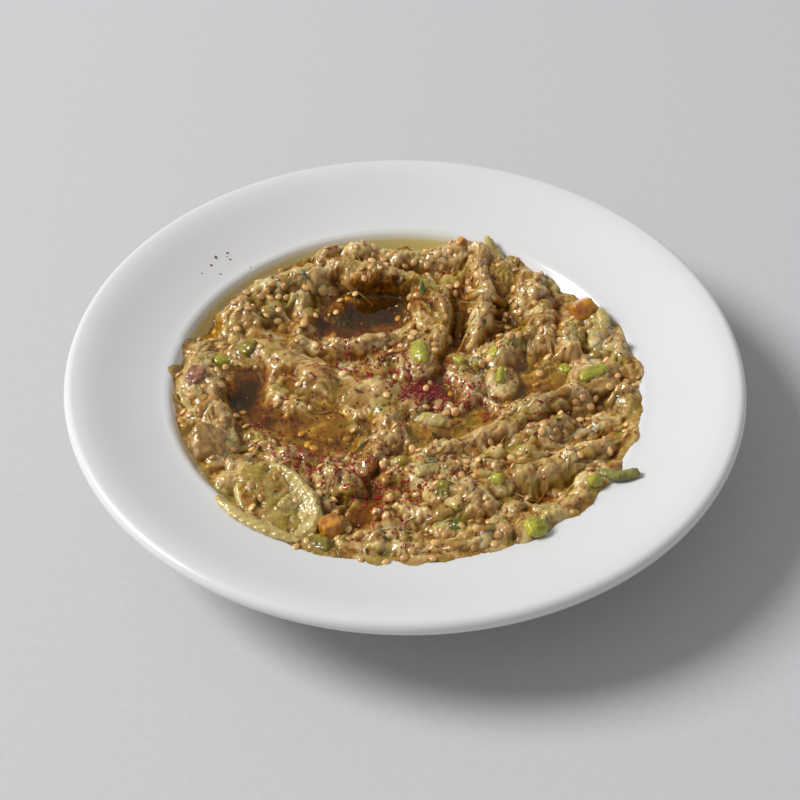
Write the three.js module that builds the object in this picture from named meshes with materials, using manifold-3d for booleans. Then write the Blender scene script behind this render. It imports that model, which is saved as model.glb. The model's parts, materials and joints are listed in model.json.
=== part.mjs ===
// Baba ganoush in a deep white plate: mashed aubergine pushed into a swirl of ridges round a hollow,
// with pools of oil in its troughs, aubergine seeds, pieces of green pepper, amber vegetable cubes,
// a few large shreds of flesh and a stem. Lengths are in millimetres. The plate stands on z = 0 with
// its middle on the z axis, +X is to the right and +Y away from the viewer.
import * as THREE from "three";
import { mergeVertices } from "three/addons/utils/BufferGeometryUtils.js";
import Module from "manifold-3d";

const wasm = await Module();
wasm.setup();

// The plate
const plateRadius = 120;
const lipHeight = 36;
const lipRound = 2.8;
const shoulderRadius = 83.6;
const shoulderHeight = 25.3;
const floorRadius = 48;
const floorHeight = 8;
const footRadius = 56;
const footWidth = 6.4;
const footHeight = 3.2;
const turnedSides = 44;

// The food
const oilLevel = 24.6;
const valleyHeight = 22.7;
const edgeRound = 7;
const gridStep = 4.4;
const gap = 0.3;
const seedLength = 2.9;
const seedWidth = 2.3;
const seedThickness = 1.3;
const seedCount = 42;
const seedSpacing = 10.5;
const highestCrest = 30.6;
const seedHeight = 25;
const seedTilt = 0.5;
const seedRise = 0.25;
const finelyRounded = 10.5;

// How ridges and troughs run into each other, and how uneven the mash is between them
const crestBlend = 1.6;
const troughBlend = 1.4;
const troughFlat = 0.35;
const troughSteepness = 9;
const wanderShare = 0.12;
const wanderWave = 9;
const unevenHeight = 0.55;
const unevenWave = 3.4;
const belowPlate = -5;

// Colours and finishes
const finishes = {
  porcelain: { color: 0xf1f1ef, roughness: 0.12, metalness: 0 },
  mash: { color: 0x8f7f4b, roughness: 0.3, metalness: 0 },
  oil: { color: 0xb08a1c, roughness: 0.05, metalness: 0 },
  pepper: { color: 0x8fa61f, roughness: 0.25, metalness: 0 },
  olive: { color: 0x7f8436, roughness: 0.3, metalness: 0 },
  herb: { color: 0x2f5a1c, roughness: 0.4, metalness: 0 },
  amber: { color: 0xb96f1c, roughness: 0.2, metalness: 0 },
  flesh: { color: 0xa39a5c, roughness: 0.25, metalness: 0 },
  skin: { color: 0x5a2f22, roughness: 0.3, metalness: 0 },
  stem: { color: 0x6d7038, roughness: 0.45, metalness: 0 },
};

// Numbers from 0 to 1 that come out the same on every run
function seededRandom(seed) {
  let state = seed;
  return () => {
    state = (state * 1664525 + 1013904223) % 4294967296;
    return state / 4294967296;
  };
}

// A smooth uneven field between about -1 and 1, with waves of the given length
function unevenness(x, y, z, wave) {
  const a = Math.sin((x * 1.0 + z * 0.7) / wave + 1.3) * Math.sin((y * 0.9 - z * 0.4) / wave + 0.4);
  const b = Math.sin((x * 1.9 - y * 1.2 + z) / wave + 2.1) * 0.6;
  const c = Math.sin((y * 2.3 + x * 0.8 - z * 1.1) / wave + 5.2) * 0.4;
  return (a + b + c) / 1.6;
}

// The larger of two heights, run into each other where they differ by less than the blend
function softMax(a, b, blend) {
  const near = Math.max(blend - Math.abs(a - b), 0) / blend;
  return Math.max(a, b) + (near * near * blend) / 4;
}

function softMin(a, b, blend) {
  return -softMax(-a, -b, blend);
}

// Solids and meshes
function solidOf(geometry) {
  const bare = geometry.clone();
  bare.deleteAttribute("normal");
  bare.deleteAttribute("uv");
  const merged = mergeVertices(bare, 1e-4);
  const index = merged.index.array;
  const faces = [];
  for (let i = 0; i < index.length; i += 3) {
    const [a, b, c] = [index[i], index[i + 1], index[i + 2]];
    if (a !== b && b !== c && c !== a) faces.push(a, b, c);
  }
  const build = (triangles) => {
    const parts = { numProp: 3, vertProperties: merged.attributes.position.array, triVerts: triangles };
    return new wasm.Manifold(new wasm.Mesh(parts));
  };
  const made = build(new Uint32Array(faces));
  return made.volume() > 0 ? made : build(new Uint32Array(faces.reverse()));
}

function largestBody(solid) {
  const bodies = solid.decompose();
  return bodies.reduce((best, body) => (body.volume() > best.volume() ? body : best));
}

function meshOf(name, solid, finish) {
  const shape = solid.getMesh();
  const geometry = new THREE.BufferGeometry();
  const places = new THREE.BufferAttribute(new Float32Array(shape.vertProperties), 3);
  geometry.setAttribute("position", places);
  geometry.setIndex(new THREE.BufferAttribute(new Uint32Array(shape.triVerts), 1));
  geometry.computeVertexNormals();
  const mesh = new THREE.Mesh(geometry, new THREE.MeshStandardMaterial(finishes[finish]));
  mesh.name = name;
  return mesh;
}

// The plate's upper face, from its middle to the top of the lip
function upperFace() {
  const path = new THREE.Path();
  path.moveTo(0, floorHeight);
  path.lineTo(floorRadius, floorHeight);
  path.bezierCurveTo(
    floorRadius + 18, floorHeight,
    shoulderRadius - 8.5, shoulderHeight - 9.4,
    shoulderRadius, shoulderHeight,
  );
  path.quadraticCurveTo(
    shoulderRadius + 0.9, shoulderHeight + 0.9,
    shoulderRadius + 3.4, shoulderHeight + 1.2,
  );
  path.bezierCurveTo(
    plateRadius - 20, lipHeight - 6.2,
    plateRadius - 14, lipHeight - 2.8,
    plateRadius - 8, lipHeight - 1,
  );
  path.quadraticCurveTo(plateRadius - 5.2, lipHeight - 0.15, plateRadius - lipRound, lipHeight);
  return path.getPoints(3);
}

// The rest of the section: round the lip, back under the rim and round the foot ring
function underFace() {
  const path = new THREE.Path();
  path.moveTo(plateRadius - lipRound, lipHeight);
  path.absarc(plateRadius - lipRound, lipHeight - lipRound, lipRound, Math.PI / 2, -Math.PI / 3, true);
  path.bezierCurveTo(
    plateRadius - 7, lipHeight - 7.4,
    plateRadius - 20, lipHeight - 11.5,
    shoulderRadius + 4.5, shoulderHeight - 3.6,
  );
  path.bezierCurveTo(
    shoulderRadius - 4.5, shoulderHeight - 8.4,
    footRadius + 18, footHeight + 3.3,
    footRadius + 2, footHeight + 0.4,
  );
  path.lineTo(footRadius, 0.7);
  path.lineTo(footRadius - 0.7, 0);
  path.lineTo(footRadius - footWidth + 0.9, 0);
  path.lineTo(footRadius - footWidth, 0.9);
  path.lineTo(footRadius - footWidth - 1.2, footHeight);
  path.lineTo(0, footHeight);
  return path.getPoints(3);
}

function turned(profile) {
  const lathe = new THREE.LatheGeometry(profile, turnedSides);
  lathe.rotateX(Math.PI / 2);
  return solidOf(lathe);
}

const upperLine = upperFace();

function plate() {
  return turned([...upperLine, ...underFace().slice(1)]);
}

// Height of the plate's upper face at a distance from its middle
function wellHeight(radius) {
  for (let i = 1; i < upperLine.length; i += 1) {
    const [inner, outer] = [upperLine[i - 1], upperLine[i]];
    if (radius <= outer.x) {
      const share = (radius - inner.x) / (outer.x - inner.x);
      return inner.y + (outer.y - inner.y) * share;
    }
  }
  return lipHeight;
}

// The space inside the plate, held off its upper face by the gap, up to the given level
function wellSpace(level) {
  const profile = [new THREE.Vector2(0, floorHeight + gap)];
  for (let i = 1; i < upperLine.length - 1; i += 1) {
    const along = upperLine[i + 1].clone().sub(upperLine[i - 1]).normalize();
    const raised = new THREE.Vector2(upperLine[i].x - along.y * gap, upperLine[i].y + along.x * gap);
    if (raised.y < level) {
      profile.push(raised);
    } else {
      const last = profile[profile.length - 1];
      const share = (level - last.y) / (raised.y - last.y);
      profile.push(last.clone().lerp(raised, share));
      break;
    }
  }
  profile.push(new THREE.Vector2(0, level));
  return turned(profile);
}

// Where the mash ends on the plate's wall, as seen from above, anticlockwise from the right
const mashEdge = [
  [87, 3], [81, 27], [73, 41], [58.5, 58.5], [46, 68], [28, 80], [3, 80], [-14, 79], [-28, 76],
  [-38, 70.5], [-46, 66], [-57, 57], [-65.5, 47.6], [-77, 28], [-85, 7], [-82, -14], [-76, -30],
  [-69.5, -42], [-63, -57], [-50.5, -72], [-33, -82], [0, -87.5], [23, -84], [43.5, -75],
  [60, -62], [73, -47.5], [82, -30.5], [86, -14],
];

// The edge's distance from the middle in any direction
function edgeRadius(x, y) {
  const angle = Math.atan2(y, x);
  const turns = mashEdge.map(([px, py]) => [Math.atan2(py, px), Math.hypot(px, py)]);
  turns.sort((a, b) => a[0] - b[0]);
  const after = turns.findIndex(([a]) => a > angle);
  const next = after < 0 ? [turns[0][0] + 2 * Math.PI, turns[0][1]] : turns[after];
  const before = after < 0 ? turns.length - 1 : after - 1;
  const last = turns[(before + turns.length) % turns.length];
  const start = before < 0 ? last[0] - 2 * Math.PI : last[0];
  const share = (angle - start) / (next[0] - start);
  const eased = share * share * (3 - 2 * share);
  return last[1] + (next[1] - last[1]) * eased;
}

// Ridges and lumps of mash: each is a rounded crest along a line of [x, y, height], half its width wide
const ridges = [
  { name: "swirl", half: 9.5, line: [[-63, 32, 26.5], [-59, 46, 28.5], [-47.5, 55.5, 29], [-36, 58, 29.5],
    [-24, 61, 30], [-8, 57, 30.2], [3, 54, 29.8], [11, 46, 29.2], [14.5, 32, 28.6], [11, 18, 28],
    [4, 8, 26.5]] },
  { name: "far rim", half: 8.5, line: [[-31, 69, 30], [-12, 70, 29.2], [6, 71, 29.4], [18, 73, 29]] },
  { name: "tongue", half: 6, line: [[28, 72, 30.4], [29, 58, 30], [30, 47, 29], [28, 36, 27.6],
    [27, 28, 26]] },
  { name: "near lip of the hollow", half: 5, line: [[-42, 22, 25.6], [-28, 19.5, 26], [-15, 20.5, 26.2],
    [-4, 25, 27]] },
  { name: "left cheek of the hollow", half: 6, line: [[-40, 46, 27.5], [-37, 37, 26.5], [-38, 29, 25.4]] },
  { name: "smooth mound", half: 12, line: [[-50, 14, 26.6], [-38, 5, 27], [-20, -1, 26.2],
    [-6, -6, 25.4]] },
  { name: "upper right lump", half: 9, line: [[46, 60, 28.6], [46, 44, 28.8]] },
  { name: "right inner lump", half: 6.5, line: [[51, 40, 28.2], [50, 24, 28]] },
  { name: "outlined lump", half: 7, line: [[62, 33, 27.6], [60, 20, 28]] },
  { name: "right flank", half: 7.5, line: [[70, 36, 27.8], [78, 24, 27.6], [81, 8, 27.4],
    [80, -8, 27.6]] },
  { name: "green lump", half: 6.2, line: [[37, 22, 27.2], [34, 11, 27.2], [33, 2, 26.4]] },
  { name: "pink lump", half: 6, line: [[18, 9, 25.8], [24, 0, 26.8], [24, -9, 26.2]] },
  { name: "diagonal", half: 7.6, line: [[74, 8, 28.2], [60, -5, 29], [45, -12, 28.6], [31, -20, 28],
    [20, -29, 27.2], [11, -35, 26]] },
  { name: "small middle lump", half: 6, line: [[55, -19, 27.6], [48, -25, 27.4]] },
  { name: "second diagonal", half: 7.6, line: [[80, -24, 27.6], [62, -36, 28.6], [42, -46, 28.8],
    [26, -43, 27.6], [14, -39, 26.4]] },
  { name: "lower right", half: 9.5, line: [[77, -39, 27.4], [67, -52, 28.4], [52, -62.5, 28.8],
    [38, -64, 27.6]] },
  { name: "centre strand", half: 6.5, line: [[-4, -14, 26], [-7, -28, 26.6], [-15, -41, 26.4]] },
  { name: "centre front", half: 7.4, line: [[-3, -41, 26.4], [9, -50, 27.2], [26, -55, 27.2]] },
  { name: "left front", half: 8, line: [[-46, -35, 26.6], [-31, -41, 26.6], [-18, -47, 26.4]] },
  { name: "left wall", half: 8.6, line: [[-76, 19, 26.6], [-75, 4.5, 27.2], [-68, -9, 27.6],
    [-66, -22, 26.6]] },
  { name: "left foot", half: 7, line: [[-77, -16, 25.4], [-70, -32, 26.2]] },
  { name: "fleshy lump", half: 8, line: [[-60, -48, 27.8], [-50, -49, 28.4]] },
  { name: "under the shell", half: 9, line: [[-47, -55, 27.6], [-38, -60, 26.2]] },
  { name: "front", half: 11.5, line: [[-20, -78, 26.6], [0, -79, 28], [16, -76.5, 27.8], [29, -73.5, 28],
    [42, -70, 27.4]] },
  { name: "behind the front", half: 6.6, line: [[-6, -59, 25.2], [12, -62, 26.6], [28, -60, 26.6]] },
];

// Troughs and the hollow: each is pressed into the mash along a line of [x, y, floor height]
const troughs = [
  { name: "hollow", half: 13, line: [[-20, 37, 19], [-9, 38, 19]] },
  { name: "left of the hollow", half: 5, line: [[-57, 27, 23.2], [-46, 26, 23.2]] },
  { name: "left trough", half: 8, line: [[-57, 5, 21], [-54, -8, 21], [-47, -20, 21], [-36, -24, 20.8]] },
  { name: "left pool", half: 9, line: [[-34, -20, 20.6], [-24, -17, 20.6]] },
  { name: "centre pool", half: 5.6, line: [[4, -22, 21], [14, -22, 20.8], [27, -12, 21]] },
  { name: "dark spice dip", half: 5.4, line: [[3, 0, 23.4], [10, -2, 23.2]] },
  { name: "right pool", half: 7.4, line: [[42, 2, 20.8], [54, 5, 20.6]] },
  { name: "crease beside the swirl", half: 3.4, line: [[16, 60, 24.6], [21, 42, 22.8], [19, 26, 22.8],
    [14, 11, 24]] },
  { name: "crease beside the tongue", half: 2.6, line: [[37, 60, 25.4], [37, 44, 24.4], [39, 30, 24]] },
  { name: "crease under the diagonal", half: 3.6, line: [[41, -27, 22.8], [25, -34, 23.4]] },
  { name: "front valley", half: 5, line: [[-8, -50, 23], [-12, -57, 22.4], [-17, -66, 22.4]] },
];

// A line's smooth run, as closely spaced points
function smoothRun(line) {
  const curve = new THREE.CatmullRomCurve3(line.map(([x, y, z]) => new THREE.Vector3(x, y, z)));
  return curve.getPoints(line.length * 5);
}

for (const band of [...ridges, ...troughs]) band.run = smoothRun(band.line);

// How far a place is from a band's line in half widths, and the height of the line there
function nearestOn(band, x, y) {
  let best = { across: Infinity, height: 0 };
  for (let i = 1; i < band.run.length; i += 1) {
    const [a, b] = [band.run[i - 1], band.run[i]];
    const [runX, runY] = [b.x - a.x, b.y - a.y];
    const along = ((x - a.x) * runX + (y - a.y) * runY) / (runX ** 2 + runY ** 2);
    const share = Math.min(1, Math.max(0, along));
    const across = Math.hypot(x - a.x - runX * share, y - a.y - runY * share);
    if (across < best.across) best = { across, height: a.z + (b.z - a.z) * share };
  }
  return { across: best.across / band.half, height: best.height };
}

// The height of the mash, raised and spread by the margin when a neighbour has to be cut to fit it
function mashHeight(x, y, margin = 0) {
  const radius = Math.hypot(x, y);
  const wander = 1 + wanderShare * unevenness(x, y, 0, wanderWave);
  let height = valleyHeight;
  for (const ridge of ridges) {
    const { across, height: crest } = nearestOn(ridge, x, y);
    const drop = (crest - valleyHeight + 1) * (across * wander) ** 2;
    height = softMax(height, crest - drop, crestBlend);
  }
  for (const trough of troughs) {
    const { across, height: bottom } = nearestOn(trough, x, y);
    const rise = troughSteepness * Math.max(0, across * wander - troughFlat) ** 2;
    height = softMin(height, bottom + rise, troughBlend);
  }
  height += unevenHeight * unevenness(x, y, height, unevenWave);
  const inside = edgeRadius(x, y) + margin - radius;
  const roundOff = Math.min(1, Math.max(0, 1 - inside / edgeRound));
  const wall = wellHeight(radius);
  height = wall + (Math.min(height, highestCrest) - wall) * Math.sqrt(1 - roundOff ** 2);
  if (inside <= 0) height = wall - 3;
  return height + margin;
}

// A block whose upper face follows a height over the whole plate
function heightBlock(heightAt) {
  const reach = shoulderRadius + 7;
  const cells = Math.round((2 * reach) / gridStep);
  const sheet = new THREE.PlaneGeometry(2 * reach, 2 * reach, cells, cells);
  const places = sheet.attributes.position;
  for (let i = 0; i < places.count; i += 1) {
    places.setZ(i, heightAt(places.getX(i), places.getY(i)));
  }
  const row = cells + 1;
  const rim = [];
  for (let i = 0; i < cells; i += 1) rim.push(i);
  for (let i = 0; i < cells; i += 1) rim.push(i * row + cells);
  for (let i = cells; i > 0; i -= 1) rim.push(cells * row + i);
  for (let i = cells; i > 0; i -= 1) rim.push(i * row);
  const points = Array.from(places.array);
  const faces = Array.from(sheet.index.array);
  const lowered = rim.map((index) => {
    points.push(places.getX(index), places.getY(index), belowPlate);
    return points.length / 3 - 1;
  });
  points.push(0, 0, belowPlate);
  const middle = points.length / 3 - 1;
  rim.forEach((index, i) => {
    const follow = (i + 1) % rim.length;
    faces.push(index, rim[follow], lowered[i]);
    faces.push(rim[follow], lowered[follow], lowered[i]);
    faces.push(lowered[i], lowered[follow], middle);
  });
  const block = new THREE.BufferGeometry();
  block.setAttribute("position", new THREE.Float32BufferAttribute(points, 3));
  block.setIndex(faces);
  return solidOf(block);
}

// A rounded uneven piece, from ball-like at squareness 2 to a cube with soft corners at 6
function lump({ size, squareness = 2.4, uneven = 0.12, seed = 1 }, grow = 0) {
  const cells = Math.max(...size) < finelyRounded ? 2 : 3;
  const shape = new THREE.BoxGeometry(2, 2, 2, cells, cells, cells);
  const places = shape.attributes.position;
  for (let i = 0; i < places.count; i += 1) {
    const place = [places.getX(i), places.getY(i), places.getZ(i)];
    const norm = place.reduce((sum, along) => sum + Math.abs(along) ** squareness, 0) ** (1 / squareness);
    const [x, y, z] = place.map((along) => along * 2);
    const reach = (1 + uneven * unevenness(x + seed * 3.7, y - seed * 1.9, z, 1.1)) / norm;
    places.setXYZ(i, ...place.map((along, axis) => along * reach * (size[axis] / 2 + grow)));
  }
  return shape;
}

// A strip along a line of [x, y, z]: flat or round in section, and narrower towards its two ends
function strip({ line, width, thickness, steps, ends, twist = 0 }, grow = 0) {
  const section = new THREE.Shape();
  section.absellipse(0, 0, 1, 1, 0, 2 * Math.PI, false, 0);
  const detail = { depth: 1, steps, curveSegments: 4, bevelEnabled: false };
  const shape = new THREE.ExtrudeGeometry(section, detail);
  const curve = new THREE.CatmullRomCurve3(line.map(([x, y, z]) => new THREE.Vector3(x, y, z)));
  const places = shape.attributes.position;
  for (let i = 0; i < places.count; i += 1) {
    const along = Math.min(1, Math.max(0, places.getZ(i)));
    const ahead = curve.getTangentAt(along);
    const side = new THREE.Vector3(0, 0, 1).cross(ahead).normalize();
    const up = ahead.clone().cross(side).normalize();
    const turn = twist * (along - 0.5);
    const narrow = Math.sin(Math.PI * along) ** 0.6;
    const full = ends[0] * (1 - along) + ends[1] * along;
    const share = full + (1 - full) * narrow;
    const across = places.getX(i) * (width / 2 * share + grow);
    const thick = places.getY(i) * (thickness / 2 * (0.6 + 0.4 * share) + grow);
    const point = curve.getPointAt(along);
    point.addScaledVector(side, across * Math.cos(turn) - thick * Math.sin(turn));
    point.addScaledVector(up, across * Math.sin(turn) + thick * Math.cos(turn));
    if (along === 0) point.addScaledVector(ahead, -grow);
    if (along === 1) point.addScaledVector(ahead, grow);
    places.setXYZ(i, point.x, point.y, point.z);
  }
  return shape;
}

// Puts a shape flat on the mash: turned about its upright, tilted with the ground, raised by the rise
function layOn(shape, { at: [x, y], turn = 0, tilt = [0, 0], rise = 0 }) {
  const reach = 2.5;
  const slopeX = (mashHeight(x + reach, y) - mashHeight(x - reach, y)) / (2 * reach);
  const slopeY = (mashHeight(x, y + reach) - mashHeight(x, y - reach)) / (2 * reach);
  const ground = new THREE.Vector3(-slopeX + tilt[0], -slopeY + tilt[1], 1).normalize();
  shape.rotateZ(THREE.MathUtils.degToRad(turn));
  shape.applyQuaternion(new THREE.Quaternion().setFromUnitVectors(new THREE.Vector3(0, 0, 1), ground));
  shape.translate(x, y, mashHeight(x, y) + rise);
  return shape;
}

// Diced and sliced pieces that lie sunk in the mash: finish, middle, size, turn and rise of the middle
// above the mash, then how square and how uneven the piece is
const softPiece = { squareness: 3, uneven: 0.12 };
const cutPiece = { squareness: 5, uneven: 0.05 };
const laidPieces = {
  pepper_bright: ["pepper", [5, 14], [6, 13, 5], 12, -0.6, softPiece],
  pepper_upper: ["pepper", [33, 15], [6, 8, 4.4], -30, -0.4, softPiece],
  pepper_middle: ["pepper", [34.5, 3], [5.4, 9, 4.4], -8, -0.4, softPiece],
  pepper_small: ["pepper", [19.5, 12], [4.4, 5.4, 3.6], 40, -0.1, softPiece],
  pepper_pool: ["pepper", [58, 10], [4.6, 5, 3.8], 20, -0.1, softPiece],
  pepper_long: ["pepper", [67.5, 2], [13, 5.4, 4], 32, -0.1, softPiece],
  pepper_left: ["pepper", [-67, 12.5], [7.4, 5, 4.6], 20, -0.3, softPiece],
  pepper_dark: ["olive", [-58, 17], [9, 9, 6], 60, -1, softPiece],
  pepper_front: ["olive", [13, -54], [6, 8, 5], -15, -0.5, softPiece],
  pepper_herb: ["herb", [17.5, -68.5], [7, 4.8, 4.2], -10, -0.4, softPiece],
  pepper_lower: ["pepper", [43, -72], [8, 7.4, 5.6], 15, 1.2, softPiece],
  pepper_right: ["pepper", [63.5, -50], [5.6, 6.4, 4.6], 30, 0, softPiece],
  pepper_pale: ["pepper", [31, -49], [6, 5, 4], 10, -0.4, softPiece],
  olive_piece: ["olive", [-28.5, -78], [12, 7, 6], -14, 1.2, softPiece],
  amber_cube_right: ["amber", [66, 40], [9, 12.5, 7.4], 22, 0, cutPiece],
  amber_cube_front: ["amber", [-24, -70.5], [8, 8.6, 7], 25, 1.2, cutPiece],
  amber_crumb: ["amber", [21.5, 75], [3.6, 4.4, 4], 10, 1.2, cutPiece],
  grey_lump: ["flesh", [-67, -32], [14, 15, 8], 15, -0.4, softPiece],
  skin_piece: ["skin", [-75, -0.5], [7.5, 10, 4], -18, 0, softPiece],
  pale_flake: ["flesh", [9.5, -17.5], [10.5, 5.2, 4], -18, 0.2, softPiece],
};

// Long pieces, each along a line of [x, y, rise above the mash]
const longPieces = [
  { name: "tall_strand", finish: "flesh", width: 7.4, thickness: 2.8, ends: [0.12, 0.6], twist: 0.5,
    steps: 10, line: [[31, 78, 5.4], [34, 71, 2.6], [36.5, 63, 0.8], [37.5, 55, -0.6]] },
  { name: "pale_strand", finish: "flesh", width: 4.8, thickness: 3, ends: [0.25, 0.6], steps: 8,
    line: [[72, 37.5, 1.4], [73, 31.5, 1], [73.5, 25, -0.6]] },
  { name: "leaf", finish: "herb", width: 3.6, thickness: 1.3, ends: [0.15, 0.2], steps: 7, twist: 0.6,
    line: [[5.5, 51, 0.3], [7, 45.5, 0.5], [9, 39, 0.3]] },
  { name: "folded_strand", finish: "flesh", width: 6.5, thickness: 3, ends: [0.5, 0.5], steps: 8,
    line: [[4, -47, 0.9], [10.5, -43, 1.3], [16, -47, 0.9]] },
];

function longPieceOnMash(piece) {
  return { ...piece, line: piece.line.map(([x, y, rise]) => [x, y, mashHeight(x, y) + rise]) };
}

// Two pieces at the rim of the mash, each along a line of [x, y, height]: a strip on the plate's wall,
// and a stem that sticks out over the plate
const rimPieces = [
  { name: "pale_strip", finish: "flesh", width: 5, thickness: 3.4, ends: [0.5, 0.4], steps: 8,
    line: [[-62.5, -59, 26.6], [-56, -66, 27], [-48, -71.5, 27.2], [-39, -76, 27], [-34, -78, 26.6]] },
  { name: "stem", finish: "stem", width: 4.2, thickness: 3, ends: [0.7, 0.75], steps: 7,
    line: [[66, -46.5, 28.2], [72, -48.5, 28.6], [79, -47.5, 29.4]] },
];

// A curled shell of skin and flesh, like half a spoon, with its edge standing up
const shell = {
  at: [-42, -60], turn: 34, tilt: [-0.1, 0.1], rise: -2.2, size: [25, 38, 10], wall: 1.8,
  floorShare: 0.34, rimShare: 0.26,
};

function shellPiece(grow) {
  const { size, wall, floorShare, rimShare } = shell;
  const block = (sides, form, swell, raise) => {
    const made = lump({ size: sides, seed: 3, ...form }, swell);
    return solidOf(layOn(made.translate(0, 0, raise), shell));
  };
  const rounded = { uneven: 0.05 };
  const outer = block(size, rounded, grow, 0);
  if (grow > 0) return outer;
  const bowl = block(size, rounded, -wall, size[2] * floorShare);
  const twice = size.map((length) => length * 2);
  const above = block(twice, { squareness: 8, uneven: 0 }, 0, size[2] * (1 + rimShare));
  return largestBody(outer.subtract(bowl).subtract(above));
}

// The hollow runs in under its far wall
const undercutShape = { at: [-15, 47.5, 22.4], size: [30, 18, 7.6], lean: -0.12 };

function undercut(grow) {
  const { at, size, lean } = undercutShape;
  const space = lump({ size, squareness: 2.2, uneven: 0.06, seed: 5 }, grow);
  return solidOf(space.rotateX(lean).translate(...at));
}

// Every separate piece, cut clear of the plate and of the pieces before it, and its pocket in the mash
const room = wellSpace(lipHeight - 1);
const pieces = [];

function addPiece(name, finish, make) {
  let solid = make(0).intersect(room);
  for (const { pocket } of pieces) solid = solid.subtract(pocket);
  pieces.push({ name, finish, solid: largestBody(solid), pocket: make(gap) });
}

addPiece("shell_piece", "flesh", shellPiece);
Object.entries(laidPieces).forEach(([name, [finish, at, size, turn, rise, form]], i) => {
  const whole = { size, seed: i + 1, ...form };
  addPiece(name, finish, (grow) => solidOf(layOn(lump(whole, grow), { at, turn, rise })));
});
for (const piece of longPieces) {
  const laid = longPieceOnMash(piece);
  addPiece(piece.name, piece.finish, (grow) => solidOf(strip(laid, grow)));
}
for (const piece of rimPieces) addPiece(piece.name, piece.finish, (grow) => solidOf(strip(piece, grow)));

// Whether a seed may lie at a place: on high mash, clear of the edge, the hollow and the pieces
function seedFits(x, y) {
  const [hollowX, hollowY] = undercutShape.at;
  if (Math.hypot(x - hollowX, y - hollowY + 5) < 20) return false;
  if (Math.hypot(x, y) > edgeRadius(x, y) - 5) return false;
  if (mashHeight(x, y) < Math.max(seedHeight, wellHeight(Math.hypot(x, y)) + 2)) return false;
  return !pieces.some(({ pocket }) => {
    const { min, max } = pocket.boundingBox();
    const aside = Math.max(min[0] - x, x - max[0], min[1] - y, y - max[1]);
    return aside < seedLength;
  });
}

function seedSolids() {
  const random = seededRandom(41);
  const placed = [];
  const solids = [];
  while (placed.length < seedCount) {
    const angle = random() * 2 * Math.PI;
    const radius = Math.sqrt(random()) * shoulderRadius;
    const [x, y] = [radius * Math.cos(angle), radius * Math.sin(angle)];
    const crowded = placed.some(([px, py]) => Math.hypot(px - x, py - y) < seedSpacing);
    if (crowded || !seedFits(x, y)) continue;
    const shape = new THREE.IcosahedronGeometry(1, 0);
    shape.scale(seedLength / 2, seedWidth / 2, seedThickness / 2);
    const tilt = [seedTilt * (random() - 0.5), seedTilt * (random() - 0.5)];
    layOn(shape, { at: [x, y], turn: random() * 180, tilt, rise: seedRise });
    placed.push([x, y]);
    solids.push(solidOf(shape));
  }
  return solids;
}

function mash() {
  let solid = heightBlock((x, y) => mashHeight(x, y)).intersect(wellSpace(lipHeight - 1));
  solid = solid.subtract(undercut(0));
  for (const seed of seedSolids()) solid = solid.add(seed);
  for (const { pocket } of pieces) solid = solid.subtract(pocket);
  return largestBody(solid);
}

// Oil that stands in the troughs, each pool at its own level, and round the mash on the plate's wall
const pools = [
  { name: "oil_left", level: 22.1, at: [-32, -19] },
  { name: "oil_centre", level: 22.1, at: [14, -22] },
  { name: "oil_right", level: 22.2, at: [49, 4] },
  { name: "oil_hollow", level: 20.7, at: [-15, 40] },
  { name: "oil_far_edge", level: oilLevel, at: [-30, 44], onWall: true },
  { name: "oil_near_edge", level: oilLevel, at: [-64, -44], onWall: true },
];

// The space below a level that the mash and the pieces leave free; the mash's inner troughs are
// closed off for oil that lies on the plate's wall
function oilBodies(level, onWall) {
  const raised = (x, y) => {
    const height = mashHeight(x, y, gap * 1.5);
    const inside = edgeRadius(x, y) - Math.hypot(x, y);
    return onWall && inside > 2 ? Math.max(height, level + 1) : height;
  };
  const block = heightBlock(raised);
  const mashRoom = onWall ? block : block.subtract(undercut(-gap));
  let oil = wellSpace(level).subtract(mashRoom);
  for (const { pocket } of pieces) oil = oil.subtract(pocket);
  return oil.decompose();
}

// The body whose middle is nearest to a place
function bodyNear(bodies, [x, y]) {
  const far = (body) => {
    const { min, max } = body.boundingBox();
    return Math.hypot((min[0] + max[0]) / 2 - x, (min[1] + max[1]) / 2 - y);
  };
  return bodies.reduce((best, body) => (far(body) < far(best) ? body : best));
}

const group = new THREE.Group();
group.add(meshOf("plate", plate(), "porcelain"));
group.add(meshOf("mash", mash(), "mash"));
for (const { name, finish, solid } of pieces) group.add(meshOf(name, solid, finish));
for (const { name, level, at, onWall = false } of pools) {
  group.add(meshOf(name, bodyNear(oilBodies(level, onWall), at), "oil"));
}
export default group;
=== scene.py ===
"""Baba ganoush in a deep white plate: mashed aubergine in a swirl of ridges, wet with oil."""

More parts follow.
